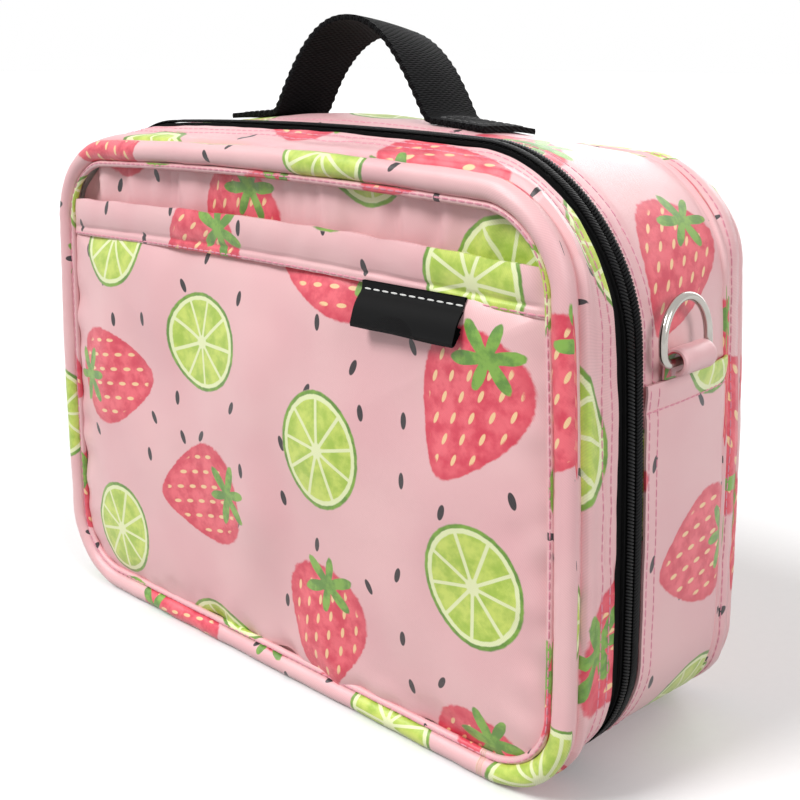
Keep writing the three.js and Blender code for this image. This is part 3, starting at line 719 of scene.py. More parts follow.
back = Vector((math.sin(TURN) * math.cos(RISE), -math.cos(TURN) * math.cos(RISE), math.sin(RISE)))
right = Vector((math.cos(TURN), math.sin(TURN), 0))
up = back.cross(right)
lens = bpy.data.cameras.new("camera")
lens.sensor_width = SENSOR_WIDTH
lens.lens = SENSOR_WIDTH * FOCAL_PIXELS / FRAME_PIXELS
lens.clip_start = CLIP_START
camera = add_object("camera", lens)
turned_axes = Matrix((right, up, back)).transposed() @ Matrix.Rotation(ROLL, 3, "Z")
camera.matrix_world = Matrix.Translation(TARGET + back * DISTANCE) @ turned_axes.to_4x4()
bpy.context.scene.camera = camera
print("lens:", round(lens.lens, 2), "mm")

# %% [markdown]
# Piping is a cord in a bias-cut cover. It is swept round the outline as a tube whose thickness breathes a
# little. The cover's seam shows as a narrow ridge on the panel side, where the panel is sewn to it, and a
# second, rolled edge runs along the back of the gusset.

# %% Piping
PIPING_SIDES, WELT_SIDES, ROLL_SIDES = 18, 10, 12
PIPING_CREASES = (Layer(0.35 * MM, 60), Layer(0.12 * MM, 260))
PIPING_PULL = 0.15 * MM
WELT_DEPTH = 2 * PIPING_RADIUS + 1.0 * MM
WELT_RADIUS = 1.2 * MM
WELT_CREASES = (Layer(0.18 * MM, 200),)
FRONT_WELT = FRONT_PIPING - 0.7 * MM
BACK_WELT = BACK_PIPING + 1.2 * MM
ROLL_RADIUS = 2.0 * MM
ROLL_PROUD = 0.7 * MM
ROLL_Y = BACK_SEAM - 6.4 * MM
ROLL_STITCH = ROLL_Y + ROLL_RADIUS + 1.2 * MM
ROLL_CREASES = (Layer(0.15 * MM, 180),)
ROLL_CLEAR = 2 * MM


def tube(name, y, radius, sides, depth, swell=None):
    """A tube round the case at one distance y, with its outermost line at a depth in the wall."""
    angle = 2 * math.pi * np.arange(sides) / sides
    rows = [at_depth(wall_ring(y, depth + radius * (1 - math.cos(a)), swell), y + radius * math.sin(a))
            for a in angle]
    return grid_piece(name, np.array(rows), True, True)


def wrinkle(piece, layers, pull=0.0):
    """Creases a piece all over, and pulls its cloth in."""
    return ripple(piece, lambda x, y, z, _: creases(x, y, z, layers) - pull)


def piping(name, node, y, body):
    piece = wrinkle(tube(name, y, PIPING_RADIUS, PIPING_SIDES, 0.0, 0.0), PIPING_CREASES, PIPING_PULL)
    return dress(piece, body, SATIN, "printed_fabric", node)


def welt(name, y, body):
    """The sewn ridge beside the piping."""
    piece = wrinkle(tube(name, y, WELT_RADIUS, WELT_SIDES, WELT_DEPTH - WELT_RADIUS, 0.0), WELT_CREASES)
    return dress(piece, body, SATIN, "printed_fabric")


def rolled_edge():
    piece = tube("back_roll", ROLL_Y, ROLL_RADIUS, ROLL_SIDES, -ROLL_PROUD)
    ripple(piece, lambda x, y, z, _: creases(x, y, z, ROLL_CREASES) if z > ROLL_CLEAR else 0.0)
    return dress(piece, "back_half", SATIN, "printed_fabric")


tell(piping("front_piping_cover", "front_piping", FRONT_PIPING, "front_half"),
     piping("back_piping_cover", "back_piping", BACK_PIPING, "back_half"),
     welt("front_welt", FRONT_WELT, "front_half"), welt("back_welt", BACK_WELT, "back_half"), rolled_edge())

# %% [markdown]
# The gusset is the band between the pipings. Each half is a strip of printed cloth with a little thickness,
# swelling to the zip. Rows of stitching run along its free edge and pull the cloth in slightly, so the
# surface dips there. Behind the zip the padded top stands up, where the handle pulls on it.

# %% Gussets
FRONT_ROWS = [FRONT_EDGE - 2.2 * MM, FRONT_EDGE - 5.6 * MM]
BACK_ROWS = [BACK_EDGE + 2.0 * MM, BACK_EDGE + 6.2 * MM]
FRONT_STEPS, BACK_STEPS = 26, 44
STITCH_DIP, STITCH_REACH = 0.35 * MM, 1.3 * MM
SEAM_DIP, SEAM_REACH = 2.2 * MM, 4.0 * MM
SEAM_CLEAR = 0.1 * MM
TUCK = 2.4 * MM
STRIP_CREASES = (Layer(0.5 * MM, 26, 4.0), Layer(0.22 * MM, 90, 9.0, (1.0, 0.5, 1.0)))
STRIP_PULL = 0.25 * MM
STRIP_FREE = 20 * MM
PUCKERS = (Layer(0.34 * MM, 130, 2.0, (1.0, 0.0, 1.0)),)
PUCKER_REACH = 4.5 * MM
TOP_LIFT, LIFT_HALF, LIFT_LEAN = 4.5 * MM, 90 * MM, 0.85
LIFT_FROM = 0.9 * CASE_HEIGHT


def bell(distance, reach):
    """1 at no distance, falling away smoothly."""
    return math.exp(-(distance / reach) ** 2)


def band_points(y_from, y_to, depth, thickness, steps, fold_y=None, tuck=False):
    """Closed section of a strip, swept round: outer side, then inner side. A tuck goes under the piping."""
    outer, inner = [], []
    for i, y in enumerate(np.linspace(y_from, y_to, steps)):
        share = 1 - i / (steps - 1)
        along_fold = y if fold_y is None else y + (fold_y - y_from) * share ** 2
        bent = y + (along_fold - y) * BOTTOM
        outer.append(at_depth(wall_ring(y, depth), bent))
        inner.append(at_depth(wall_ring(y, depth + thickness), bent))
    if tuck:
        under = y_to + math.copysign(TUCK, y_to - y_from)
        outer.append(at_depth(wall_ring(y_to, depth + TUCK), under))
        inner.append(at_depth(wall_ring(y_to, depth + TUCK + thickness), under))
    return np.array(outer + inner[::-1])


def top_lift(x, y):
    """How far the padded top stands up behind the zip, where the handle pulls on it."""
    if not BACK_EDGE < y < BACK_SEAM:
        return 0.0
    share = (y - BACK_EDGE) / (BACK_SEAM - BACK_EDGE)
    return TOP_LIFT * max(0.0, 1 - (x / LIFT_HALF) ** 2) ** 2 * math.sin(math.pi * share ** LIFT_LEAN)


def stitch_dip(y, rows):
    """How far the cloth is pulled in by its stitch rows and by the seam at the piping."""
    seam = min(abs(y - FRONT_SEAM), abs(BACK_SEAM - y))
    return -STITCH_DIP * sum(bell(y - row, STITCH_REACH) for row in rows) - SEAM_DIP * bell(seam, SEAM_REACH)


def gusset(name, node, body, y_from, y_to, steps, fold_y, rows):
    points = band_points(y_from, y_to, 0.0, FABRIC, steps, fold_y, tuck=True)
    section = np.append(np.abs(np.linspace(y_from, y_to, steps) - y_from), abs(y_to - y_from) + TUCK)
    around = np.linalg.norm(np.diff(points[0], axis=0, append=points[0][:1]), axis=1).cumsum()
    across = np.concatenate([section, section[::-1]])
    uv = np.stack(np.broadcast_arrays(around[None, :], across[:, None]), -1)
    piece = grid_piece(name, points, True, True, uv=uv)

    def height(x, y, z, normal):
        free = min(1, z / STRIP_FREE)
        seam = min(abs(y - mark) for mark in (*rows, FRONT_SEAM, BACK_SEAM))
        pucker = creases(x, y, z, PUCKERS) * bell(seam, PUCKER_REACH)
        lift = top_lift(x, y) * normal.z if z > LIFT_FROM else 0.0
        return free * (creases(x, y, z, STRIP_CREASES) + pucker - STRIP_PULL + stitch_dip(y, rows)) + lift

    ripple(piece, height)
    return dress(piece, body, SATIN, "printed_fabric", node)


front_strip = gusset("front_strip", "front_gusset", "front_half", FRONT_EDGE, FRONT_SEAM + SEAM_CLEAR,
                     FRONT_STEPS, SPLIT - FOLD_REACH, FRONT_ROWS)
back_strip = gusset("back_strip", "back_gusset", "back_half", BACK_EDGE, BACK_SEAM - SEAM_CLEAR, BACK_STEPS,
                    SPLIT + FOLD_REACH, [*BACK_ROWS, ROLL_Y - ROLL_RADIUS, ROLL_STITCH])
tell(front_strip, back_strip)

# %% [markdown]
# Under the bottom the two halves are one cloth that folds when the lid opens. A strip is modelled flat
# across the fold line, and is tied to neither half.

# %% Bottom fold
FOLD_HALF = 76 * MM
FOLD_LAP = 0.5 * MM
FOLD_ROWS, FOLD_COLUMNS = 15, 60
FOLD_LOW, FOLD_HIGH = 0.15 * MM, 0.75 * MM
FOLD_LIFT, FOLD_CURVE = 0.9 * MM, 1.6 * MM


def bottom_fold():
    across = np.linspace(SPLIT - FOLD_REACH - FOLD_LAP, SPLIT + FOLD_REACH + FOLD_LAP, FOLD_ROWS)
    along = np.linspace(-FOLD_HALF, FOLD_HALF, FOLD_COLUMNS)
    lift = lambda y: FOLD_LIFT * bell(y - SPLIT, FOLD_CURVE)
    side = lambda base, ys: [[(x, y, base + lift(y)) for x in along] for y in ys]
    points = np.array(side(FOLD_LOW, across) + side(FOLD_HIGH, across[::-1]))
    piece = grid_piece("fold_strip", points, True, False, ends=True)
    piece.data.materials.append(SATIN)
    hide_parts("bottom_fold")
    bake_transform(piece)
    return piece


tell(bottom_fold())

# %% [markdown]
# A panel is a sheet inside the piping. It is made from rings that shrink from the rim to the middle, so the
# rim follows the outline and the middle can crown. The front panel shows above the pocket with soft upright
# creases.

# %% Panels
PANEL_SHAPE = wall_shape(0.0, PANEL_INSET)
PANEL_RINGS = 34
HUB_SHARE, RIM_FROM, RIM_NEXT, RIM_RINGS = 0.012, 0.8, 0.84, 8
CROWN_POWER, SINK_POWER = 2.6, 14
FRONT_FACE = FRONT_PIPING + 3.2 * MM
FACING_FRONT = -0.5
CREASE_FROM, CREASE_FADE = 140 * MM, 20 * MM
UPRIGHT_CREASES = (Layer(2.2 * MM, 62, 2.0, (1.6, 0.0, 0.25)), Layer(1.32 * MM, 130, 6.0, (1.6, 0.0, 0.3)))
FRONT_CREASES = (Layer(0.3 * MM, 30),)
BACK_CROWN = 2.0 * MM
BACK_CREASES = (Layer(0.6 * MM, 22), Layer(0.25 * MM, 75))


def up_to_one(value):
    return max(0.0, min(1.0, value))


def flat_uv(points):
    """The print laid straight onto a sheet from the front."""
    return np.stack([points[..., 0], points[..., 2]], -1)


def panel(name, shape, face, outwards, thickness, crown, rings, sink=0.0):
    """A crowned sheet, from the middle of its outer side over the rim to the middle of its inner side."""
    rim = outline(*shape)
    centre = rim.mean(0)
    shares = np.concatenate([np.linspace(HUB_SHARE, RIM_FROM, rings - RIM_RINGS),
                             np.linspace(RIM_NEXT, 1.0, RIM_RINGS)])
    rise = lambda t: crown * (1 - t ** CROWN_POWER) - sink * t ** SINK_POWER
    ring = lambda t, y: at_depth(centre + (rim - centre) * t, y)
    outer = [ring(t, face + outwards * rise(t)) for t in shares]
    inner = [ring(t, face + outwards * (rise(t) - thickness)) for t in shares[::-1]]
    points = np.array(outer + inner)
    return grid_piece(name, points, False, True, caps=True, uv=flat_uv(points))


def front_creases(x, y, z, normal):
    if normal.y > FACING_FRONT:
        return 0.0
    upper = up_to_one((z - CREASE_FROM) / CREASE_FADE)
    return upper * creases(x, y, z, UPRIGHT_CREASES) + creases(x, y, z, FRONT_CREASES)


front_panel = panel("front_panel_cloth", PANEL_SHAPE, FRONT_FACE, -1, FABRIC, 0.0, PANEL_RINGS)
ripple(front_panel, front_creases)
dress(front_panel, "front_half", SATIN, "printed_fabric", "front_panel")
back_panel = panel("back_panel_cloth", PANEL_SHAPE, BACK_PIPING, 1, FABRIC, BACK_CROWN, PANEL_RINGS)
wrinkle(back_panel, BACK_CREASES)
dress(back_panel, "back_half", SATIN, "printed_fabric", "back_panel")
tell(front_panel, back_panel)

# %% [markdown]
# The front slip pocket is a second sheet in front of the panel, held in the piping at the sides and below.
# Its top is a folded band that puffs forward a little, with a seam and a row of stitching under it. Its
# mouth stays open.

# %% Front pocket
POCKET_TOP = 160 * MM
POCKET_GAP, POCKET_THICK = 4.4 * MM, 1.0 * MM
POCKET_FACE = FRONT_FACE - POCKET_GAP - POCKET_THICK
POCKET_SWELL, POCKET_SINK = 4.2 * MM, 2.4 * MM
POCKET_RINGS = 40
POCKET_HEM, POCKET_CORNER = 3 * MM, 2.0 * MM
BAND_HEIGHT = 12 * MM
BAND_BASE = POCKET_TOP - BAND_HEIGHT
POCKET_SHAPE = (*PANEL_SHAPE[:2], BAND_BASE, PANEL_SHAPE[3], POCKET_CORNER)
POCKET_WAVES = (Layer(4.2 * MM, 15, 3.0, (1.0, 0.0, 1.0)), Layer(1.9 * MM, 34, 8.0, (1.3, 0.0, 0.7)))
POCKET_PUCKERS = (Layer(1.5 * MM, 85, 5.0, (1.2, 0.0, 1.2)),)
WAVE_FADE, POCKET_RIM = 25 * MM, 18 * MM


def pocket_creases(x, y, z, normal):
    from_side = PANEL_SHAPE[0] - abs(x)
    broad = up_to_one(from_side / WAVE_FADE) * creases(x, y, z, POCKET_WAVES)
    rim = up_to_one(1 - min(from_side, z - PANEL_INSET) / POCKET_RIM)
    return (broad + rim * creases(x, y, z, POCKET_PUCKERS)) * (-1 if normal.y > 0 else 1)


front_pocket = panel("front_pocket_cloth", POCKET_SHAPE, POCKET_FACE, -1, POCKET_THICK, POCKET_SWELL,
                     POCKET_RINGS, POCKET_SINK)
ripple(front_pocket, pocket_creases)
dress(front_pocket, "front_half", SATIN, "printed_fabric", "front_pocket")
tell(front_pocket)

# %% [markdown]
# The band is one section drawn along the pocket's top: the narrow flat ridge of its seam, then a full roll.
# A section point is a share of the band's height and a distance outwards in millimetres. The band thins and
# sinks at its ends, where the piping takes it.

# %% Pocket band
SEAM_RIDGE = 1.6 * MM
BAND_STEPS = 170
BAND_CLEAR = 1.5 * MM
RIDGE_SECTION = [(0.0, 0.1), (0.0, 0.75), (0.05, 1.0), (0.12, 1.05), (0.17, 0.95), (0.2, 0.55), (0.24, 0.6)]
PUFF_FULL, PUFF_BLUNT, PUFF_SPAN, PUFF_START = 1.35, 0.7, 0.86, 0.03
PUFF_SHARES = np.linspace(0.06, 1.0, 18)
BEHIND_SECTION = [(1.0, 0.2), (0.9, -0.25), (0.6, -0.3), (0.2, -0.3), (0.02, -0.3)]
END_TAPER, END_THICK = 4 * MM, 0.1
SAG, SAG_SHARE = 1.2 * MM, 0.14
CORNER_PULL = 0.035
BAND_CREASES = (Layer(0.6 * MM, 55, 1.0, (1.5, 0.0, 0.4)),)
BAND_GRAIN = (Layer(0.15 * MM, 160, 0.0, (1.0, 0.0, 1.0)),)
BAND_FADE = 5 * MM


def band_section():
    base, out = RIDGE_SECTION[-1]
    puff = lambda t: PUFF_FULL * math.sin(math.pi * (t * PUFF_SPAN + PUFF_START)) ** PUFF_BLUNT
    roll = [(base + (1 - base) * t, out + puff(t)) for t in PUFF_SHARES]
    return RIDGE_SECTION + roll + BEHIND_SECTION


def pocket_band():
    half = PANEL_SHAPE[0] - BAND_CLEAR
    low = BAND_BASE - SEAM_RIDGE
    rows = []
    for share, out in band_section():
        row = []
        for x in np.linspace(-half, half, BAND_STEPS):
            sx, sz = (float(v) for v in soften(np.array(x), np.array(low + (POCKET_TOP - low) * share)))
            taper = min(1.0, (half - abs(x)) / END_TAPER + END_THICK)
            sag = SAG * max(0.0, abs(x) / half - (1 - SAG_SHARE)) / SAG_SHARE
            corner = max(0.0, sz - (CASE_HEIGHT - CORNER_RADIUS)) / CORNER_RADIUS
            y = POCKET_FACE + POCKET_THICK / 2 - out * MM * taper + sag
            row.append((sx * (1 - CORNER_PULL * corner ** 2), y, sz))
        rows.append(row)
    points = np.array(rows)
    piece = grid_piece("pocket_band_cloth", points, True, False, ends=True, uv=flat_uv(points))

    def height(x, y, z, normal):
        roll = up_to_one((z - BAND_BASE) / BAND_FADE)
        return roll * creases(x, y, z, BAND_CREASES) + creases(x, y, z, BAND_GRAIN)

    ripple(piece, height)
    return dress(piece, "front_half", SATIN, "printed_fabric", "front_pocket_band")


band = pocket_band()
tell(band)

# %% [markdown]
# Stitches are small spindles of thread, laid half sunk along a row. One spindle is described by a few rings
# of six points, and a whole row is one mesh, so that hundreds of stitches stay light. A row is first
# dropped onto the cloth that lies under it.

# %% Stitch helper
STITCH_LENGTH, STITCH_PITCH, STITCH_RADIUS = 2.6 * MM, 3.0 * MM, 0.3 * MM
STITCH_FLAT = 0.8
STITCH_SEARCH = 12 * MM
SPINDLE_SIDES = 6
# Along a spindle: share of its length from the middle, and share of its full width
SPINDLE = [(-0.5, 0.25), (-0.36, 0.8), (0.0, 1.0), (0.36, 0.8), (0.5, 0.25)]


def along_path(path, run, marks):
    """Points of a path at given distances along it."""
    return np.stack([np.interp(marks, run, path[:, k]) for k in range(path.shape[1])], 1)


def spaced(path, pitch):
    """Places and headings at even steps along a path of points."""
    run = run_along(path)
    marks = np.arange(pitch / 2, run[-1], pitch)
    ahead = along_path(path, run, np.minimum(marks + pitch / 4, run[-1]))
    behind = along_path(path, run, marks - pitch / 4)
    return along_path(path, run, marks), unit(ahead - behind)


def spindles(name, places, headings, outs, length, radius, flat=1.0):
    """One mesh of spindles with blunt ends, each along its heading, with its flat way towards its out."""
    angle = 2 * math.pi * np.arange(SPINDLE_SIDES) / SPINDLE_SIDES
    sides = range(SPINDLE_SIDES)
    vertices, faces = [], []
    for place, heading, out in zip(places, headings, outs):
        side = np.cross(heading, out)
        side /= np.linalg.norm(side)
        lift = np.cross(side, heading)
        base = len(vertices)
        for share, width in SPINDLE:
            for a in angle:
                offset = side * math.cos(a) + lift * math.sin(a) * flat
                vertices.append(place + heading * (length * share) + offset * (radius * width))
        last = len(vertices) - SPINDLE_SIDES
        for ring in range(base, last, SPINDLE_SIDES):
            for k in sides:
                a, b = ring + k, ring + (k + 1) % SPINDLE_SIDES
                faces.append((a, b, b + SPINDLE_SIDES, a + SPINDLE_SIDES))
        faces.append(tuple(base + k for k in reversed(sides)))
        faces.append(tuple(last + k for k in sides))
    mesh = bpy.data.meshes.new(name)
    mesh.from_pydata(vertices, [], faces)
    return face_outwards(add_object(name, mesh))


def stitch_row(name, path, body, material, slot, outs, pitch=STITCH_PITCH):
    """A row of stitches along a path. Outs is one outward direction, or one for each point of the path."""
    places, headings = spaced(np.array(path), pitch)
    outs = np.broadcast_to(outs, (len(path), 3))
    nearest = np.linspace(0, len(path) - 1, len(places)).round().astype(int)
    piece = spindles(name, places, headings, outs[nearest], STITCH_LENGTH, STITCH_RADIUS, STITCH_FLAT)
    return dress(piece, body, material, slot)


def ring_outs(ring):
    """Outward directions in the XZ plane at each point of a ring."""
    ahead = np.roll(ring, -1, 0) - np.roll(ring, 1, 0)
    return unit(np.stack([ahead[:, 1], np.zeros(len(ring)), -ahead[:, 0]], 1))


def settle(path, outs, cloths):
    """Drops each point of a path onto the outermost of the cloths that lie under it."""
    settled = []
    for point, out in zip(path, outs):
        out = Vector(out)
        start = Vector(point) + out * STITCH_SEARCH
        hits = [cloth.ray_cast(start, -out, distance=2 * STITCH_SEARCH) for cloth in cloths]
        places = [place for hit, place, _, _ in hits if hit]
        nearest = min(places, key=lambda place: (place - start).length) if places else Vector(point)
        settled.append(tuple(nearest))
    return settled


def strip_stitches(label, rows, body, cloths):
    """The rows of stitching along the zip, round the case from one bottom corner to the other."""
    made = []
    for number, y in enumerate(rows, 1):
        ring = wall_ring(y, 0.0)
        outs = ring_outs(ring)[:ZIP_POINTS]
        path = settle(at_depth(ring, y)[:ZIP_POINTS], outs, cloths)
        name = f"{label}_strip_stitches_{number}"
        made.append(stitch_row(name, path, body, PINK_THREAD, "printed_fabric", outs))
    return made


print("points in a stitch:", SPINDLE_SIDES * len(SPINDLE))

# %% [markdown]
# Pink stitching follows the front strip, the rolled edge at the back and both ridges beside the piping. The
# seam under the pocket band is sewn too, with a gap where the label covers it. The rows beside the zip at
# the back come later, because they run over the side pockets.

# %% Stitching on the case
WELT_STITCH_RISE, STITCH_SINK = 0.2 * MM, 0.05 * MM
SEAM_STITCH = BAND_BASE - SEAM_RIDGE + 0.7 * MM
SEAM_END, SEAM_POINTS = 2 * MM, 90
LABEL_LEFT, LABEL_RIGHT = 48.25 * MM, 88.75 * MM
FRONT_OF_CASE = -0.2


def welt_stitches(label, y, body, way):
    ring = wall_ring(y, WELT_DEPTH - WELT_STITCH_RISE, 0.0)
    path = at_depth(ring, y + way * (WELT_RADIUS - STITCH_SINK))
    return stitch_row(f"{label}_welt_stitches", path, body, PINK_THREAD, "printed_fabric", (0.0, way, 0.0))


def seam_point(x):
    """Place of the seam stitches on the ridge."""
    sx, sz = (float(v) for v in soften(np.array(x), np.array(SEAM_STITCH)))
    hit, point, *_ = band.ray_cast(Vector((sx, FRONT_OF_CASE, sz)), Vector((0, 1, 0)))
    return sx, (point.y if hit else POCKET_FACE) - STITCH_SINK, sz


def seam_stitches(number, start, stop):
    path = [seam_point(x) for x in np.linspace(start, stop, SEAM_POINTS)]
    name = f"pocket_seam_stitches_{number}"
    return stitch_row(name, path, "front_half", PINK_THREAD, "printed_fabric", (0.0, -1.0, 0.0))


tell(*strip_stitches("front", FRONT_ROWS, "front_half", [front_strip]),
     *strip_stitches("back_edge", [ROLL_STITCH], "back_half", [back_strip]),
     welt_stitches("front", FRONT_WELT, "front_half", -1), welt_stitches("back", BACK_WELT, "back_half", 1),
     seam_stitches(1, -PANEL_SHAPE[0] + SEAM_END, LABEL_LEFT),
     seam_stitches(2, LABEL_RIGHT, PANEL_SHAPE[0] - SEAM_END))

# %% [markdown]
# The zip is a pair of woven tapes with a nylon coil along each edge. From a step away the closed coils read
# as a herringbone, so each turn is a small slanted spindle, one row leaning one way and the other row the
# other way.

# %% Zip
TAPE_DEPTH, TAPE_THICK, TAPE_UNDER, TAPE_STEPS = 1.3 * MM, 0.8 * MM, 4 * MM, 10
TOOTH_PITCH, TOOTH_LENGTH, TOOTH_RADIUS = 1.05 * MM, 3.7 * MM, 0.55 * MM
TOOTH_LEAN = math.radians(27)
TOOTH_OVERLAP = 0.15 * MM
COIL_PROUD = 1.0 * MM
COIL_END = 3.0 * MM
# Corners of the cord under the coil: depth, and share of the coil's width
CORD_SECTION = ((1.2 * MM, 0.05), (0.3 * MM, 0.05), (0.3 * MM, 1.0), (1.2 * MM, 1.0))


def zip_half(label, side, body, tape_end):
    edge = SPLIT + side * COIL_PARTING / 2
    tape_points = band_points(edge + side * GAP, tape_end, TAPE_DEPTH, TAPE_THICK, TAPE_STEPS)
    tape = grid_piece(f"zip_tape_{label}_weave", tape_points[:, :ZIP_POINTS], True, False, ends=True)
    dress(tape, body, ZIP_TAPE, "zip_tape", f"zip_tape_{label}")
    ring = wall_ring(SPLIT, -COIL_PROUD + TOOTH_RADIUS)
    middle = edge + side * (COIL_WIDTH / 2 - TOOTH_OVERLAP)
    places, headings = spaced(at_depth(ring, middle)[:ZIP_POINTS], TOOTH_PITCH)
    clear = places[:, 2] > COIL_END
    places, headings = places[clear], headings[clear]
    leaning = np.array([0.0, side, 0.0]) * math.cos(TOOTH_LEAN) + headings * math.sin(TOOTH_LEAN)
    places = places + headings * (TOOTH_PITCH / 2 if side > 0 else 0.0)
    outs = np.cross(headings, np.array([0.0, 1.0, 0.0]))
    teeth = spindles(f"zip_coil_{label}_turns", places, leaning, outs, TOOTH_LENGTH, TOOTH_RADIUS)
    rows = [at_depth(wall_ring(SPLIT, depth), edge + side * share * COIL_WIDTH)[:ZIP_POINTS]
            for depth, share in CORD_SECTION]
    cord = grid_piece(f"zip_cord_{label}", np.array(rows), True, False, ends=True)
    dress(cord, body, ZIP_TAPE, "zip_tape")
    dress(teeth, body, NYLON, "zip_coil", f"zip_coil_{label}")
    return tape, cord, teeth


tell(*zip_half("front", -1, "front_half", FRONT_EDGE - TAPE_UNDER),
     *zip_half("back", 1, "back_half", BACK_EDGE + TAPE_UNDER))

# %% [markdown]
# The handle is 25 mm webbing. Its feet lie flat on the top and are sewn down with a box of stitches, and
# the middle stands up in an arch. The arch is swept from the same curve as the solid, then eased where it
# leaves the feet.

# %% Handle
WEBBING_WIDTH, WEBBING_THICK = 25.4 * MM, 1.8 * MM
HANDLE_HALF, HANDLE_FOOT = 36 * MM, 25 * MM
HANDLE_RISE = 33 * MM - TOP_LIFT
HANDLE_FULLNESS = 2.3
HANDLE_Y, HANDLE_TILT = 5.5 * MM, 4.5 * MM
FOOT_STEPS, ARCH_STEPS, EASING_PASSES = 56, 200, 30
WEBBING_COLUMNS, EDGE_BULGE, EDGE_FROM = 13, 0.51, 0.49
SELVEDGE, SELVEDGE_PITCH = 0.3 * MM, 3 * MM
WEBBING_CUP = 0.5 * MM
# How far the weave is shifted between the under side and the upper side
FACE_SHIFT = 4 * MM
BOX_NEAR, BOX_FAR, BOX_EDGE, BOX_POINTS = 4 * MM, 3 * MM, 3 * MM, 12
BOX_RISE = 0.05 * MM


def top_height(x, y):
    return float(soften(np.array(x), np.array(CASE_HEIGHT))[1]) + swell_at(y) + top_lift(x, y)


def handle_line():
    """The handle seen from the front: a foot, the arch and the other foot, as x and height above the top."""
    foot = [(-HANDLE_HALF - HANDLE_FOOT * (1 - s / FOOT_STEPS), 0.0) for s in range(FOOT_STEPS + 1)]
    arch = []
    for s in range(1, ARCH_STEPS):
        share = 2 * s / ARCH_STEPS - 1
        arch.append((HANDLE_HALF * share, HANDLE_RISE * (1 - abs(share) ** HANDLE_FULLNESS)))
    line = np.array(foot + arch + [(-x, z) for x, z in foot[::-1]])
    for _ in range(EASING_PASSES):
        line[1:-1] = (line[:-2] + 2 * line[1:-1] + line[2:]) / 4
    return line


def handle():
    """Webbing swept along the handle line, a little cupped and with a woven edge."""
    line = handle_line()
    ahead = unit(np.gradient(line, axis=0))
    run = run_along(line)
    offsets = np.linspace(-0.5, 0.5, WEBBING_COLUMNS)
    section = [(o, 0.0) for o in offsets] + [(EDGE_BULGE, 0.5)]
    section += [(o, 1.0) for o in offsets[::-1]] + [(-EDGE_BULGE, 0.5)]
    points, uv = [], []
    for across, thick in section:
        row, row_uv = [], []
        for (x, z), (ax, az), s in zip(line, ahead, run):
            selvedge = SELVEDGE * math.sin(s * 2 * math.pi / SELVEDGE_PITCH) * (abs(across) > EDGE_FROM)
            y = HANDLE_Y + across * WEBBING_WIDTH + math.copysign(1.0, across) * selvedge
            level = min(1.0, 2 * z / HANDLE_RISE)
            ground = top_height(x, y) * (1 - level) + top_height(x, HANDLE_Y) * level
            out = thick * WEBBING_THICK - WEBBING_CUP * level * (2 * across) ** 2
            tilt = -HANDLE_TILT * across * (z / HANDLE_RISE) ** 2
            row.append((x - az * out, y, ground + GAP + z + tilt + ax * out))
            row_uv.append((across * WEBBING_WIDTH + thick * FACE_SHIFT, s))
        points.append(row)
        uv.append(row_uv)
    piece = grid_piece("handle_webbing", np.array(points), True, False, ends=True, uv=np.array(uv))
    return dress(piece, "back_half", WEBBING, "webbing", "carry_handle")


def foot_stitches(side, hand):
    """A box with one diagonal, sewn through a foot of the handle."""
    near, far = HANDLE_HALF + BOX_NEAR, HANDLE_HALF + HANDLE_FOOT - BOX_FAR
    inset = WEBBING_WIDTH / 2 - BOX_EDGE
    corners = [(near, -inset), (far, -inset), (far, inset), (near, inset), (near, -inset), (far, inset)]
    path = []
    for (x0, y0), (x1, y1) in zip(corners[:-1], corners[1:]):
        for t in np.linspace(0, 1, BOX_POINTS):
            x, y = hand * (x0 + (x1 - x0) * t), HANDLE_Y + y0 + (y1 - y0) * t
            path.append((x, y, top_height(x, y) + GAP + WEBBING_THICK + BOX_RISE))
    name = f"handle_foot_stitches_{side}"
    return stitch_row(name, path, "back_half", BLACK_THREAD, "webbing", (0.0, 0.0, 1.0))


tell(handle(), foot_stitches("left", -1), foot_stitches("right", 1))

# %% [markdown]
# The side pockets lie on the gusset and are held in the seams before and behind. The hem is a doubled edge
# that stands off a little, with a row of stitching 8 mm below it.

# %% Side pockets
SIDES = (("right", 1), ("left", -1))
HEM_HEIGHT, HEM_STITCH = 125.5 * MM, 8 * MM
SIDE_LOW = 13 * MM
SIDE_COLUMNS, LOWER_ROWS, UPPER_ROWS = 36, 30, 22
LOWER_TO, UPPER_FROM = 100 * MM, 103 * MM
SIDE_OUT, SIDE_THICK = 0.9 * MM, 0.8 * MM
SIDE_FRONT_CLEAR, SIDE_BACK_CLEAR = 0.6 * MM, 0.4 * MM
SLACK, SLACK_MIDDLE, SLACK_HALF, SLACK_FROM = 1.0 * MM, 10 * MM, 30 * MM, 70 * MM
HEM_RIDGE, HEM_INSET, HEM_REACH = 0.5 * MM, 2 * MM, 3 * MM
HEM_DIP, HEM_DIP_REACH = 0.3 * MM, 1.2 * MM
SIDE_DIP, SIDE_DIP_REACH = 1.0 * MM, 2.6 * MM
SIDE_CREASES = (Layer(0.35 * MM, 42, 5.0, (0.0, 1.0, 1.4)),)
HEM_STITCH_RISE = 0.1 * MM


def side_reach(y, z):
    """How far out the gusset reaches at one place on the side."""
    ring = wall_ring(y, 0.0)[:2 * CORNER_POINTS + SIDE_POINTS]
    return float(np.interp(z, ring[:, 1], ring[:, 0]))


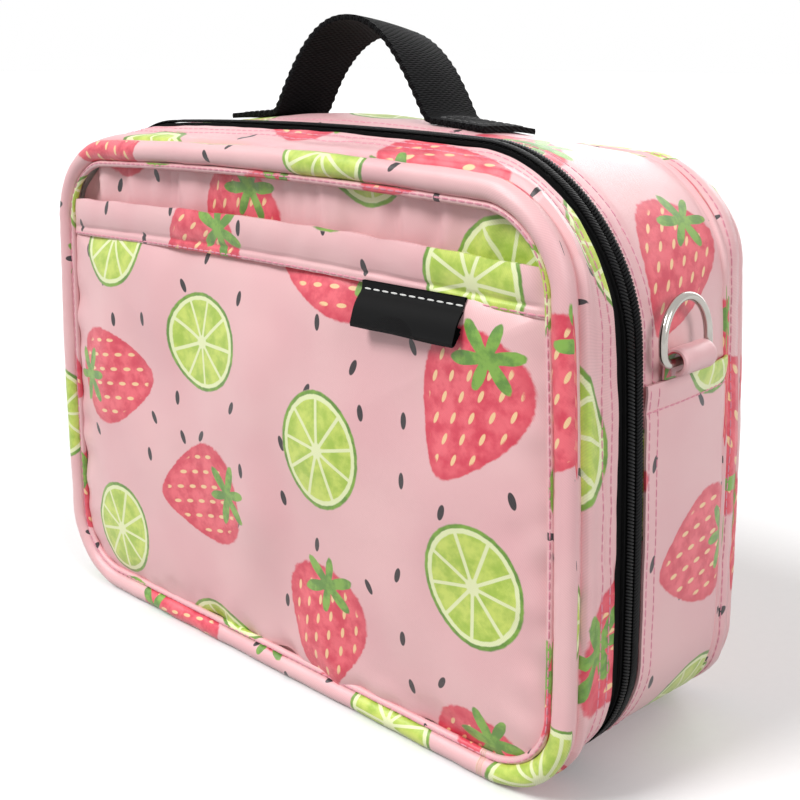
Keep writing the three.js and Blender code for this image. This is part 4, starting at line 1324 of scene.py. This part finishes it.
def side_pocket_out(y, z):
    """How far the side pocket stands off the plain gusset."""
    middle = max(0.0, 1 - ((y - SLACK_MIDDLE) / SLACK_HALF) ** 2)
    slack = SLACK * middle * max(0.0, (z - SLACK_FROM) / (HEM_HEIGHT - SLACK_FROM)) ** 2
    hem = HEM_RIDGE * bell(HEM_HEIGHT - HEM_INSET - z, HEM_REACH)
    dip = HEM_DIP * bell(HEM_HEIGHT - HEM_STITCH - z, HEM_DIP_REACH)
    seam = SIDE_DIP * bell(ROLL_Y - y, SIDE_DIP_REACH)
    return SIDE_OUT + slack + hem - dip - seam + creases(0.0, y, z, SIDE_CREASES)


def side_pocket(side, hand):
    across = np.linspace(BACK_EDGE + SIDE_FRONT_CLEAR, ROLL_Y - SIDE_BACK_CLEAR, SIDE_COLUMNS)
    heights = np.concatenate([np.linspace(SIDE_LOW, LOWER_TO, LOWER_ROWS),
                              np.linspace(UPPER_FROM, HEM_HEIGHT, UPPER_ROWS)])
    out = np.array([[side_reach(y, z) + side_pocket_out(y, z) for y in across] for z in heights])
    grid_y, grid_z = np.meshgrid(across, heights)
    outer = np.stack([hand * out, grid_y, grid_z], -1)
    inner = np.stack([hand * (out - SIDE_THICK), grid_y, grid_z], -1)
    points = np.concatenate([outer, inner[::-1]])
    uv = np.stack([hand * points[..., 1], points[..., 2]], -1)
    piece = grid_piece(f"side_pocket_{side}_cloth", points, True, False, ends=True, uv=uv)
    dress(piece, "back_half", SATIN, "printed_fabric", f"side_pocket_{side}")
    z = HEM_HEIGHT - HEM_STITCH
    path = [(hand * (side_reach(y, z) + side_pocket_out(y, z) + HEM_STITCH_RISE), y, z) for y in across]
    stitch_row(f"side_pocket_{side}_stitches", path, "back_half", PINK_THREAD, "printed_fabric",
               (float(hand), 0.0, 0.0))
    return piece


side_pockets = [side_pocket(side, hand) for side, hand in SIDES]
tell(*side_pockets)

# %% [markdown]
# The strap tab is sewn in at the hem: a strip of the same cloth, rolled round the bar of the ring. With the
# pockets and tabs in place, the stitching beside the zip at the back can be dropped onto the strip and the
# pockets.

# %% Strap tabs
TAB_Y = 0.0
TAB_WIDTH, TAB_RADIUS, TAB_CLOTH = 17 * MM, 4.2 * MM, 1.9 * MM
TAB_FOOT = TAB_RADIUS + 1.5 * MM
TAB_ROLL, TAB_OPENING = math.radians(262), 0.25 * MM
FOOT_POINTS, TAB_POINTS, TAB_COLUMNS = 8, 40, 17
TAB_FLAT, TAB_NEAR_EDGE, TAB_THINNING = 0.46, 0.485, 0.55
TAB_CREASES = (Layer(0.22 * MM, 150, 7.0),)
TAB_PULL = 0.1 * MM
BAR_X = side_reach(TAB_Y - TAB_WIDTH / 2, HEM_HEIGHT) + GAP + TAB_RADIUS
BAR_Z = HEM_HEIGHT + GAP + TAB_FOOT


def tab_path():
    """Middle line of the rolled strip in the XZ plane, from its foot over the bar and round under it."""
    radius = TAB_RADIUS - TAB_CLOTH / 2
    foot = [(-radius, -TAB_FOOT * (1 - t)) for t in np.linspace(0, 1, FOOT_POINTS)[:-1]]
    roll = []
    for t in np.linspace(0, 1, TAB_POINTS):
        angle, reach = math.pi - TAB_ROLL * t, radius + TAB_OPENING * t
        roll.append((reach * math.cos(angle), reach * math.sin(angle)))
    return np.array(foot + roll)


def strap_tab(side, hand):
    line = tab_path()
    ahead = unit(np.gradient(line, axis=0))
    normal = np.stack([-ahead[:, 1], ahead[:, 0]], 1)
    flat = np.linspace(-TAB_FLAT, TAB_FLAT, TAB_COLUMNS)
    columns = []
    for share in (-0.5, -TAB_NEAR_EDGE, *flat, TAB_NEAR_EDGE, 0.5):
        edge = 1 - TAB_THINNING * max(0.0, (abs(share) - TAB_FLAT) / (0.5 - TAB_FLAT))
        half = TAB_CLOTH / 2 * edge
        section = np.concatenate([line + normal * half, (line - normal * half)[::-1]])
        y = TAB_Y + share * TAB_WIDTH
        columns.append([(hand * (BAR_X + px), y, BAR_Z + pz) for px, pz in section])
    points = np.array(columns).transpose(1, 0, 2)
    piece = grid_piece(f"strap_tab_{side}_cloth", points, True, False, ends=True)
    wrinkle(piece, TAB_CREASES, TAB_PULL)
    return dress(piece, "back_half", SATIN, "printed_fabric", f"strap_tab_{side}")


tell(*(strap_tab(side, hand) for side, hand in SIDES),
     *strip_stitches("back", BACK_ROWS, "back_half", [back_strip, *side_pockets]))

# %% [markdown]
# The strap rings are bent from round nickel-plated wire. A torus gives the wire, and its rings of points
# are then moved onto a D-shaped path with a straight bar.

# %% Strap rings
WIRE_RADIUS, WIRE_SIDES, WIRE_TURNS = 1.3 * MM, 18, 120
RING_Y = -2 * MM
RING_HALF = 13.5 * MM - WIRE_RADIUS
RING_CORNER, CORNER_STEPS, BOW_STEPS = 3.4 * MM, 8, 40
RING_SHOULDER = 20.5 * MM - 2 * WIRE_RADIUS - RING_HALF
RING_LEAN = math.radians(-5)


def ring_path():
    """The D in its own plane, with the middle of its bar at the origin."""
    def arc(cx, cz, radius, start, end, count):
        angles = [math.radians(start + (end - start) * k / count) for k in range(count + 1)]
        return [(cx + radius * math.cos(a), cz + radius * math.sin(a)) for a in angles]

    inset = RING_HALF - RING_CORNER
    points = [(0.0, 0.0)] + arc(inset, RING_CORNER, RING_CORNER, -90, 0, CORNER_STEPS)
    points += arc(0.0, RING_SHOULDER, RING_HALF, 0, 180, BOW_STEPS)
    points += arc(-inset, RING_CORNER, RING_CORNER, 180, 270, CORNER_STEPS) + [(0.0, 0.0)]
    path = np.array(points)
    run = run_along(path)
    return along_path(path, run, np.linspace(0, run[-1], WIRE_TURNS, endpoint=False))


def strap_ring(side, hand):
    bpy.ops.object.select_all(action="DESELECT")
    bpy.ops.mesh.primitive_torus_add(major_radius=RING_HALF, minor_radius=WIRE_RADIUS,
                                     major_segments=WIRE_TURNS, minor_segments=WIRE_SIDES)
    piece = bpy.context.object
    piece.name = f"strap_ring_{side}_wire"
    path = ring_path()
    ahead = unit(np.roll(path, -1, 0) - np.roll(path, 1, 0))
    for v in piece.data.vertices:
        turn = math.atan2(v.co.y, v.co.x) % (2 * math.pi)
        k = int(round(turn / (2 * math.pi) * WIRE_TURNS)) % WIRE_TURNS
        out = math.hypot(v.co.x, v.co.y) - RING_HALF
        across = path[k][0] + ahead[k][1] * out
        rise = path[k][1] - ahead[k][0] * out
        lean_x = v.co.z * math.cos(RING_LEAN) + rise * math.sin(RING_LEAN)
        lean_z = rise * math.cos(RING_LEAN) - v.co.z * math.sin(RING_LEAN)
        v.co = (hand * (BAR_X + lean_x), RING_Y + across, BAR_Z + lean_z)
    face_outwards(piece)
    return dress(piece, f"ring_{side}", NICKEL, "nickel", f"strap_ring_{side}")


tell(*(strap_ring(side, hand) for side, hand in SIDES))

# %% [markdown]
# The zip's slider and pull are die-cast, so their edges are rounded. The solids give their form, and a
# bevel rounds every edge that isn't part of a curve.

# %% Zip slider and pull
MERGE = 0.01 * MM
FLAT_ANGLE = math.radians(2)
CAST_EDGE, CAST_SEGMENTS, CAST_ANGLE = 0.35 * MM, 3, math.radians(35)


def cast_piece(node, body):
    """A copy of a small metal solid with its edges rounded, as die-cast fittings have them."""
    piece = add_object(f"{node}_cast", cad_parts[node].data.copy())
    only(piece)
    bpy.ops.object.mode_set(mode="EDIT")
    bpy.ops.mesh.select_all(action="SELECT")
    bpy.ops.mesh.remove_doubles(threshold=MERGE)
    bpy.ops.mesh.dissolve_limited(angle_limit=FLAT_ANGLE)
    bpy.ops.object.mode_set(mode="OBJECT")
    rounding = piece.modifiers.new("rounding", "BEVEL")
    rounding.width = CAST_EDGE
    rounding.segments = CAST_SEGMENTS
    rounding.limit_method = "ANGLE"
    rounding.angle_limit = CAST_ANGLE
    bpy.ops.object.modifier_apply(modifier=rounding.name)
    face_outwards(piece)
    return dress(piece, body, NICKEL, "nickel", node)


tell(cast_piece("zip_slider", "slider"), cast_piece("zip_pull", "pull"))

# %% [markdown]
# The label is a black woven strip, folded at its foot and caught in the pocket seam by its top. Its two
# leaves part a little at the sides, and it stands off the pocket towards its foot. A row of white stitches
# holds its top.

# %% Label
LABEL_TOP = 149.4 * MM
LABEL_FACE = POCKET_FACE - 0.9 * MM
LABEL_LEAF, LABEL_LENGTH = 0.6 * MM, 11.8 * MM
LABEL_FLARE, FLARE_EASE = math.radians(36), 0.25
LABEL_STEPS, LABEL_COLUMNS = 22, 44
FLARE_START = 5
LABEL_WAVES = (Layer(0.3, 55, 2.0, (1.0, 0.0, 0.0)),)
PART_GAP, PART_OPEN, PART_CLOSE, PART_SIDE, PART_CURVE = 0.1 * MM, 0.9 * MM, 0.5 * MM, 9 * MM, 1.5
FOLD_OUTER, FOLD_INNER = 0.8 * MM, 0.2 * MM
LABEL_STITCH_RISE, LABEL_STITCH_INSET, LABEL_STITCH_PITCH = 0.3 * MM, 0.8 * MM, 3.6 * MM
LABEL_STITCH_POINTS = 40


def label_line(x):
    """Middle line of the label from top to foot: flat over the seam, then curving away from the pocket."""
    curl = LABEL_FLARE * (1 + creases(x, 0.0, 0.0, LABEL_WAVES))
    line = [(LABEL_FACE, z) for z in (LABEL_TOP, (LABEL_TOP + SEAM_STITCH) / 2, SEAM_STITCH)]
    y, z = line[-1]
    step = LABEL_LENGTH / LABEL_STEPS
    for k in range(LABEL_STEPS):
        bend = curl * min(1.0, (k + 1) / FLARE_START) * (1 - FLARE_EASE * k / LABEL_STEPS)
        y -= math.sin(bend) * step
        z -= math.cos(bend) * step
        line.append((y, z))
    return np.array(line)


def label_section(x):
    """Two leaves joined by a round fold at the foot, as one closed line."""
    line = label_line(x)
    ahead = unit(np.gradient(line, axis=0))
    out = np.stack([ahead[:, 1], -ahead[:, 0]], 1)
    share = np.linspace(0, 1, len(line))
    edge = min(1.0, min(x - LABEL_LEFT, LABEL_RIGHT - x) / PART_SIDE)
    part = PART_GAP + (PART_OPEN - PART_CLOSE * edge) * np.sin(math.pi * share) ** PART_CURVE
    part = part[:, None]
    foot, inner_foot = (line[-1] + ahead[-1] * reach for reach in (FOLD_OUTER, FOLD_INNER))
    full = part + LABEL_LEAF
    return np.concatenate([line + out * full, [foot], (line - out * full)[::-1],
                           line - out * part, [inner_foot], (line + out * part)[::-1]])


def woven_label():
    columns, uv = [], []
    for x in np.linspace(LABEL_LEFT, LABEL_RIGHT, LABEL_COLUMNS):
        section = label_section(x)
        columns.append([(x, y, z) for y, z in section])
        uv.append([(x, s) for s in run_along(section)])
    points = np.array(columns).transpose(1, 0, 2)
    piece = grid_piece("label_cloth", points, True, False, uv=np.array(uv).transpose(1, 0, 2))
    only(piece)
    bpy.ops.object.mode_set(mode="EDIT")
    bpy.ops.mesh.select_all(action="DESELECT")
    bpy.ops.mesh.select_non_manifold()
    bpy.ops.mesh.fill(use_beauty=True)
    bpy.ops.object.mode_set(mode="OBJECT")
    face_outwards(piece)
    return dress(piece, "front_half", LABEL_WEAVE, "label", "woven_label")


def label_stitches():
    ends = (LABEL_LEFT + LABEL_STITCH_INSET, LABEL_RIGHT - LABEL_STITCH_INSET)
    y = LABEL_FACE - LABEL_LEAF - LABEL_STITCH_RISE
    path = [(x, y, SEAM_STITCH) for x in np.linspace(*ends, LABEL_STITCH_POINTS)]
    return stitch_row("label_stitches", path, "front_half", WHITE_THREAD, "label", (0.0, -1.0, 0.0),
                      pitch=LABEL_STITCH_PITCH)


tell(woven_label(), label_stitches())

# %% [markdown]
# Inside, each half has a grey lining sewn in as a tub, over foam. The lid holds the cold pack in a mesh
# pocket, and the back holds a row of elastic loops. These only show when the case is open, but they are
# dressed like the outside.

# %% Lining and foam
FOAM_DEPTH, FOAM_CUT = 1.5 * MM, 0.2 * MM
FOAM_RINGS, FOAM_STEPS = 14, 8
LINING_DEPTH = FOAM_DEPTH + FOAM + GAP
LINING_STEPS = {"front": 8, "back": 16}
FLOOR_SHARES = np.linspace(0.02, 0.98, 12)
FLANGE_WIDTH, FLANGE_DEPTH = 0.6 * MM, FOAM_DEPTH + 1.1 * MM
LINING_PULL = 0.4 * MM
FLOOR_CREASES = (Layer(0.35 * MM, 40, 3.0),)
LINING_CREASES = (Layer(0.2 * MM, 120),)


def lining(label, body, floor_y, mouth_y, steps):
    """A tub: its floor and walls outside, a flange round its mouth, then its walls and floor inside."""
    inwards = math.copysign(1.0, mouth_y - floor_y)
    inner_floor = floor_y + inwards * LINING
    flange = mouth_y - inwards * FLANGE_WIDTH
    wall = lambda ys, depth: [at_depth(wall_ring(y, depth), y) for y in ys]

    def base(y, depth, shares):
        ring = wall_ring(y, depth)
        return [at_depth(ring.mean(0) + (ring - ring.mean(0)) * t, y) for t in shares]

    rows = base(floor_y, LINING_DEPTH, FLOOR_SHARES)
    rows += wall(np.linspace(floor_y, mouth_y, steps), LINING_DEPTH)
    rows += wall((flange, mouth_y), FLANGE_DEPTH)
    rows += wall(np.linspace(mouth_y, inner_floor, steps), LINING_DEPTH + LINING)
    rows += base(inner_floor, LINING_DEPTH + LINING, FLOOR_SHARES[::-1])
    piece = grid_piece(f"{label}_lining_cloth", np.array(rows), False, True, caps=True)

    def height(x, y, z, normal):
        on_floor = abs(normal.y) * creases(x, y, z, FLOOR_CREASES)
        return on_floor + creases(x, y, z, LINING_CREASES) - LINING_PULL

    ripple(piece, height)
    return dress(piece, body, GREY_LINING, "lining", f"{label}_lining")


def foam(label, body, outwards):
    low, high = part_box(f"{label}_foam_board")
    depth = CASE_WIDTH / 2 + BASE_SPREAD - high[0]
    face = low[1] if outwards < 0 else high[1]
    crown = 0.0 if outwards < 0 else BACK_CROWN
    shape = wall_shape(0.0, depth)
    board = panel(f"{label}_board_foam", shape, face - outwards * crown, outwards, FOAM, crown, FOAM_RINGS)
    dress(board, body, FOAM_SHEET, "foam", f"{label}_foam_board")
    low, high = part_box(f"{label}_gusset_foam")
    points = band_points(low[1], high[1], FOAM_DEPTH, FOAM - FOAM_CUT, FOAM_STEPS)
    padding = grid_piece(f"{label}_gusset_padding", points, True, True)
    dress(padding, body, FOAM_SHEET, "foam", f"{label}_gusset_foam")
    return board, padding


for label, body, outwards in (("front", "front_half", -1), ("back", "back_half", 1)):
    boards = foam(label, body, outwards)
    low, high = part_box(f"{label}_lining")
    floor_y, mouth_y = (low[1], high[1]) if outwards < 0 else (high[1], low[1])
    tell(*boards, lining(label, body, floor_y, mouth_y, LINING_STEPS[label]))

# %% [markdown]
# The cold pack is a sealed bag of film. The mesh pocket is stretched over it in the lid and ends in an
# elastic hem, and one elastic band makes all the loops in the back. Their boxes come from the solids.

# %% Cold pack, mesh pocket and loops
BAG_RINGS, BAG_COLUMNS = 22, 160
BAG_SQUARENESS, BAG_SEAL, BAG_STEEP, BAG_ROUND = 0.32, 0.93, 5, 0.6
RIM_HALF, FILM_CLEAR = 0.4 * MM, 0.5 * MM
BAG_HUB = 0.02
MESH_THICK, MESH_RINGS = 0.6 * MM, 16
MESH_LOW_CORNER, MESH_HIGH_CORNER = 24 * MM, 2 * MM
HEM_CLEAR, HEM_THICK = 1.5 * MM, 0.6 * MM
HEM_COLUMNS, HEM_SIDES = 90, 20
HEM_CREASES = (Layer(0.3 * MM, 60, 0.0, (1.0, 0.0, 0.0)),)
LOOP_COUNT, LOOP_STEPS, LOOP_ROWS = 6, 24, 12
LOOP_THICK, LOOP_FULLNESS = 1.2 * MM, 0.8


def pillow(name, low, high):
    """A sealed film bag between two corners: full in the middle, with a thin flat rim."""
    middle = (np.array(low) + np.array(high)) / 2
    half = (np.array(high) - np.array(low)) / 2
    angle = 2 * math.pi * np.arange(BAG_COLUMNS) / BAG_COLUMNS
    squared = lambda wave: np.sign(wave) * np.abs(wave) ** BAG_SQUARENESS
    rim_x, rim_z = squared(np.cos(angle)) * half[0], squared(np.sin(angle)) * half[2]
    sides = []
    for way in (-1, 1):
        side = []
        for t in np.linspace(BAG_HUB, 1.0, BAG_RINGS):
            full = max(0.0, 1 - (t / BAG_SEAL) ** BAG_STEEP) ** BAG_ROUND
            y = middle[1] + way * (RIM_HALF + (half[1] - FILM_CLEAR) * full)
            side.append(np.stack([middle[0] + rim_x * t, np.full(BAG_COLUMNS, y), middle[2] + rim_z * t], 1))
        sides.append(side)
    return grid_piece(name, np.array(sides[0] + sides[1][::-1]), False, True, caps=True)


def mesh_hem(low, high):
    y, z = (low[1] + high[1]) / 2, (low[2] + high[2]) / 2
    half = (high[2] - low[2] - HEM_CLEAR) / 2
    along = np.linspace(low[0] + HEM_CLEAR, high[0] - HEM_CLEAR, HEM_COLUMNS)
    middle = [(x, y + creases(x, 0.0, 0.0, HEM_CREASES)) for x in along]
    rows = []
    for a in np.linspace(0, 2 * math.pi, HEM_SIDES, endpoint=False):
        rows.append([(mx, my + HEM_THICK * math.sin(a), z - math.cos(a) * half) for mx, my in middle])
    piece = grid_piece("mesh_hem_elastic", np.array(rows), True, False, ends=True)
    return dress(piece, "front_half", ELASTIC, "mesh", "mesh_pocket_hem")


def elastic_loops():
    low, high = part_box("elastic_loops")
    steps = LOOP_COUNT * LOOP_STEPS
    rise = high[1] - low[1] - LOOP_THICK
    arch = lambda k: rise * abs(math.sin(math.pi * k / LOOP_STEPS)) ** LOOP_FULLNESS
    near = [(x, high[1] - arch(k)) for k, x in enumerate(np.linspace(low[0], high[0], steps + 1))]
    section = near + [(x, y - LOOP_THICK) for x, y in near[::-1]]
    heights = np.linspace(low[2], high[2], LOOP_ROWS)
    points = np.array([[(x, y, z) for z in heights] for x, y in section])
    uv = np.array([[(z, s) for z in heights] for s in run_along(np.array(section))])
    piece = grid_piece("loop_elastic", points, True, False, ends=True, uv=uv)
    return dress(piece, "back_half", ELASTIC, "webbing", "elastic_loops")


cold_pack = pillow("cold_pack_film", *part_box("cold_pack"))
dress(cold_pack, "front_half", GEL_FILM, "gel_film", "cold_pack")
mesh_low, mesh_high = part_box("mesh_pocket")
hem_low, hem_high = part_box("mesh_pocket_hem")
MESH_SHAPE = (mesh_high[0] - BASE_SPREAD, mesh_low[2], hem_low[2], MESH_LOW_CORNER, MESH_HIGH_CORNER)
mesh_pocket = panel("mesh_pocket_net", MESH_SHAPE, mesh_high[1], 1, MESH_THICK, 0.0, MESH_RINGS)
dress(mesh_pocket, "front_half", MESH_NET, "mesh", "mesh_pocket")
tell(cold_pack, mesh_pocket, mesh_hem(hem_low, hem_high), elastic_loops())

# %% [markdown]
# A floor and plain studio light. The world is white to the camera and in reflections, and lights the case
# softly from all round. A broad lamp above the front left gives the satin its shape, and two weaker ones
# light the right side and the back. The floor is white to the eye and keeps the soft shadow, but throws
# back less light, so the case isn't lit from below.

# %% Stage and light
WORLD_LIGHT = 0.4
FLOOR_SIZE, FLOOR_DROP = 30, 0.2 * MM
FLOOR_BOUNCE = colour(0.55, 0.55, 0.55)
FLOOR_PAPER = (colour(0.97, 0.97, 0.97), colour(0.985, 0.985, 0.985))
# Each lamp: the way to it from the case, its strength, and how broad it looks in degrees
LAMPS = {
    "key_lamp": ((-0.3, -0.62, 0.72), 2.4, 22),
    "side_lamp": ((0.85, -0.1, 0.5), 1.2, 30),
    "back_lamp": ((-0.25, 0.9, 0.26), 1.3, 40),
}


def seen_rays(tree):
    """1 for a ray from the camera, off a gloss or through glass, and 0 for one that only brings light."""
    rays = tree.nodes.new("ShaderNodeLightPath")
    seen = rays.outputs["Is Camera Ray"]
    for kind in ("Is Glossy Ray", "Is Transmission Ray"):
        either = tree.nodes.new("ShaderNodeMath")
        either.operation = "MAXIMUM"
        tree.links.new(seen, either.inputs[0])
        tree.links.new(rays.outputs[kind], either.inputs[1])
        seen = either.outputs[0]
    return seen


def lamp(name, towards, strength, spread):
    """A far soft light, so that the floor is lit as evenly as the case."""
    light = bpy.data.lights.new(name, "SUN")
    light.energy = strength
    light.angle = math.radians(spread)
    holder = add_object(name, light)
    holder.matrix_world = Vector(towards).to_track_quat("Z", "Y").to_matrix().to_4x4()


bpy.ops.object.select_all(action="DESELECT")
bpy.ops.mesh.primitive_plane_add(size=FLOOR_SIZE, location=(0, 0, -FLOOR_DROP))
floor = bpy.context.object
floor.name = "floor"
paper = Nodes("floor_paper")
sheet = paper.mix(paper.grain(paper.place("Object"), scale=300.0, detail=3.0), *FLOOR_PAPER)
floor.data.materials.append(paper.finish(
    Base_Color=paper.mix(seen_rays(paper.tree), FLOOR_BOUNCE, sheet), Roughness=0.9))
floor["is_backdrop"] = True

scene = bpy.context.scene
scene.view_settings.view_transform = "Standard"
world = bpy.data.worlds.new("studio")
world.use_nodes = True
scene.world = world
sky = world.node_tree.nodes["Background"]
sky.inputs["Color"].default_value = (1, 1, 1, 1)
bright = world.node_tree.nodes.new("ShaderNodeMapRange")
bright.inputs["To Min"].default_value = WORLD_LIGHT
bright.inputs["To Max"].default_value = 1.0
world.node_tree.links.new(seen_rays(world.node_tree), bright.inputs["Value"])
world.node_tree.links.new(bright.outputs["Result"], sky.inputs["Strength"])
for name, (towards, strength, spread) in LAMPS.items():
    lamp(name, towards, strength, spread)
print("lamps:", list(LAMPS), "world:", WORLD_LIGHT)

# %% [markdown]
# Last, the box of the dressed case is printed.

# %% Finish
low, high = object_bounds()
print("visual box mm:", [round(float(v) * 1000, 1) for v in (*low, *high)])
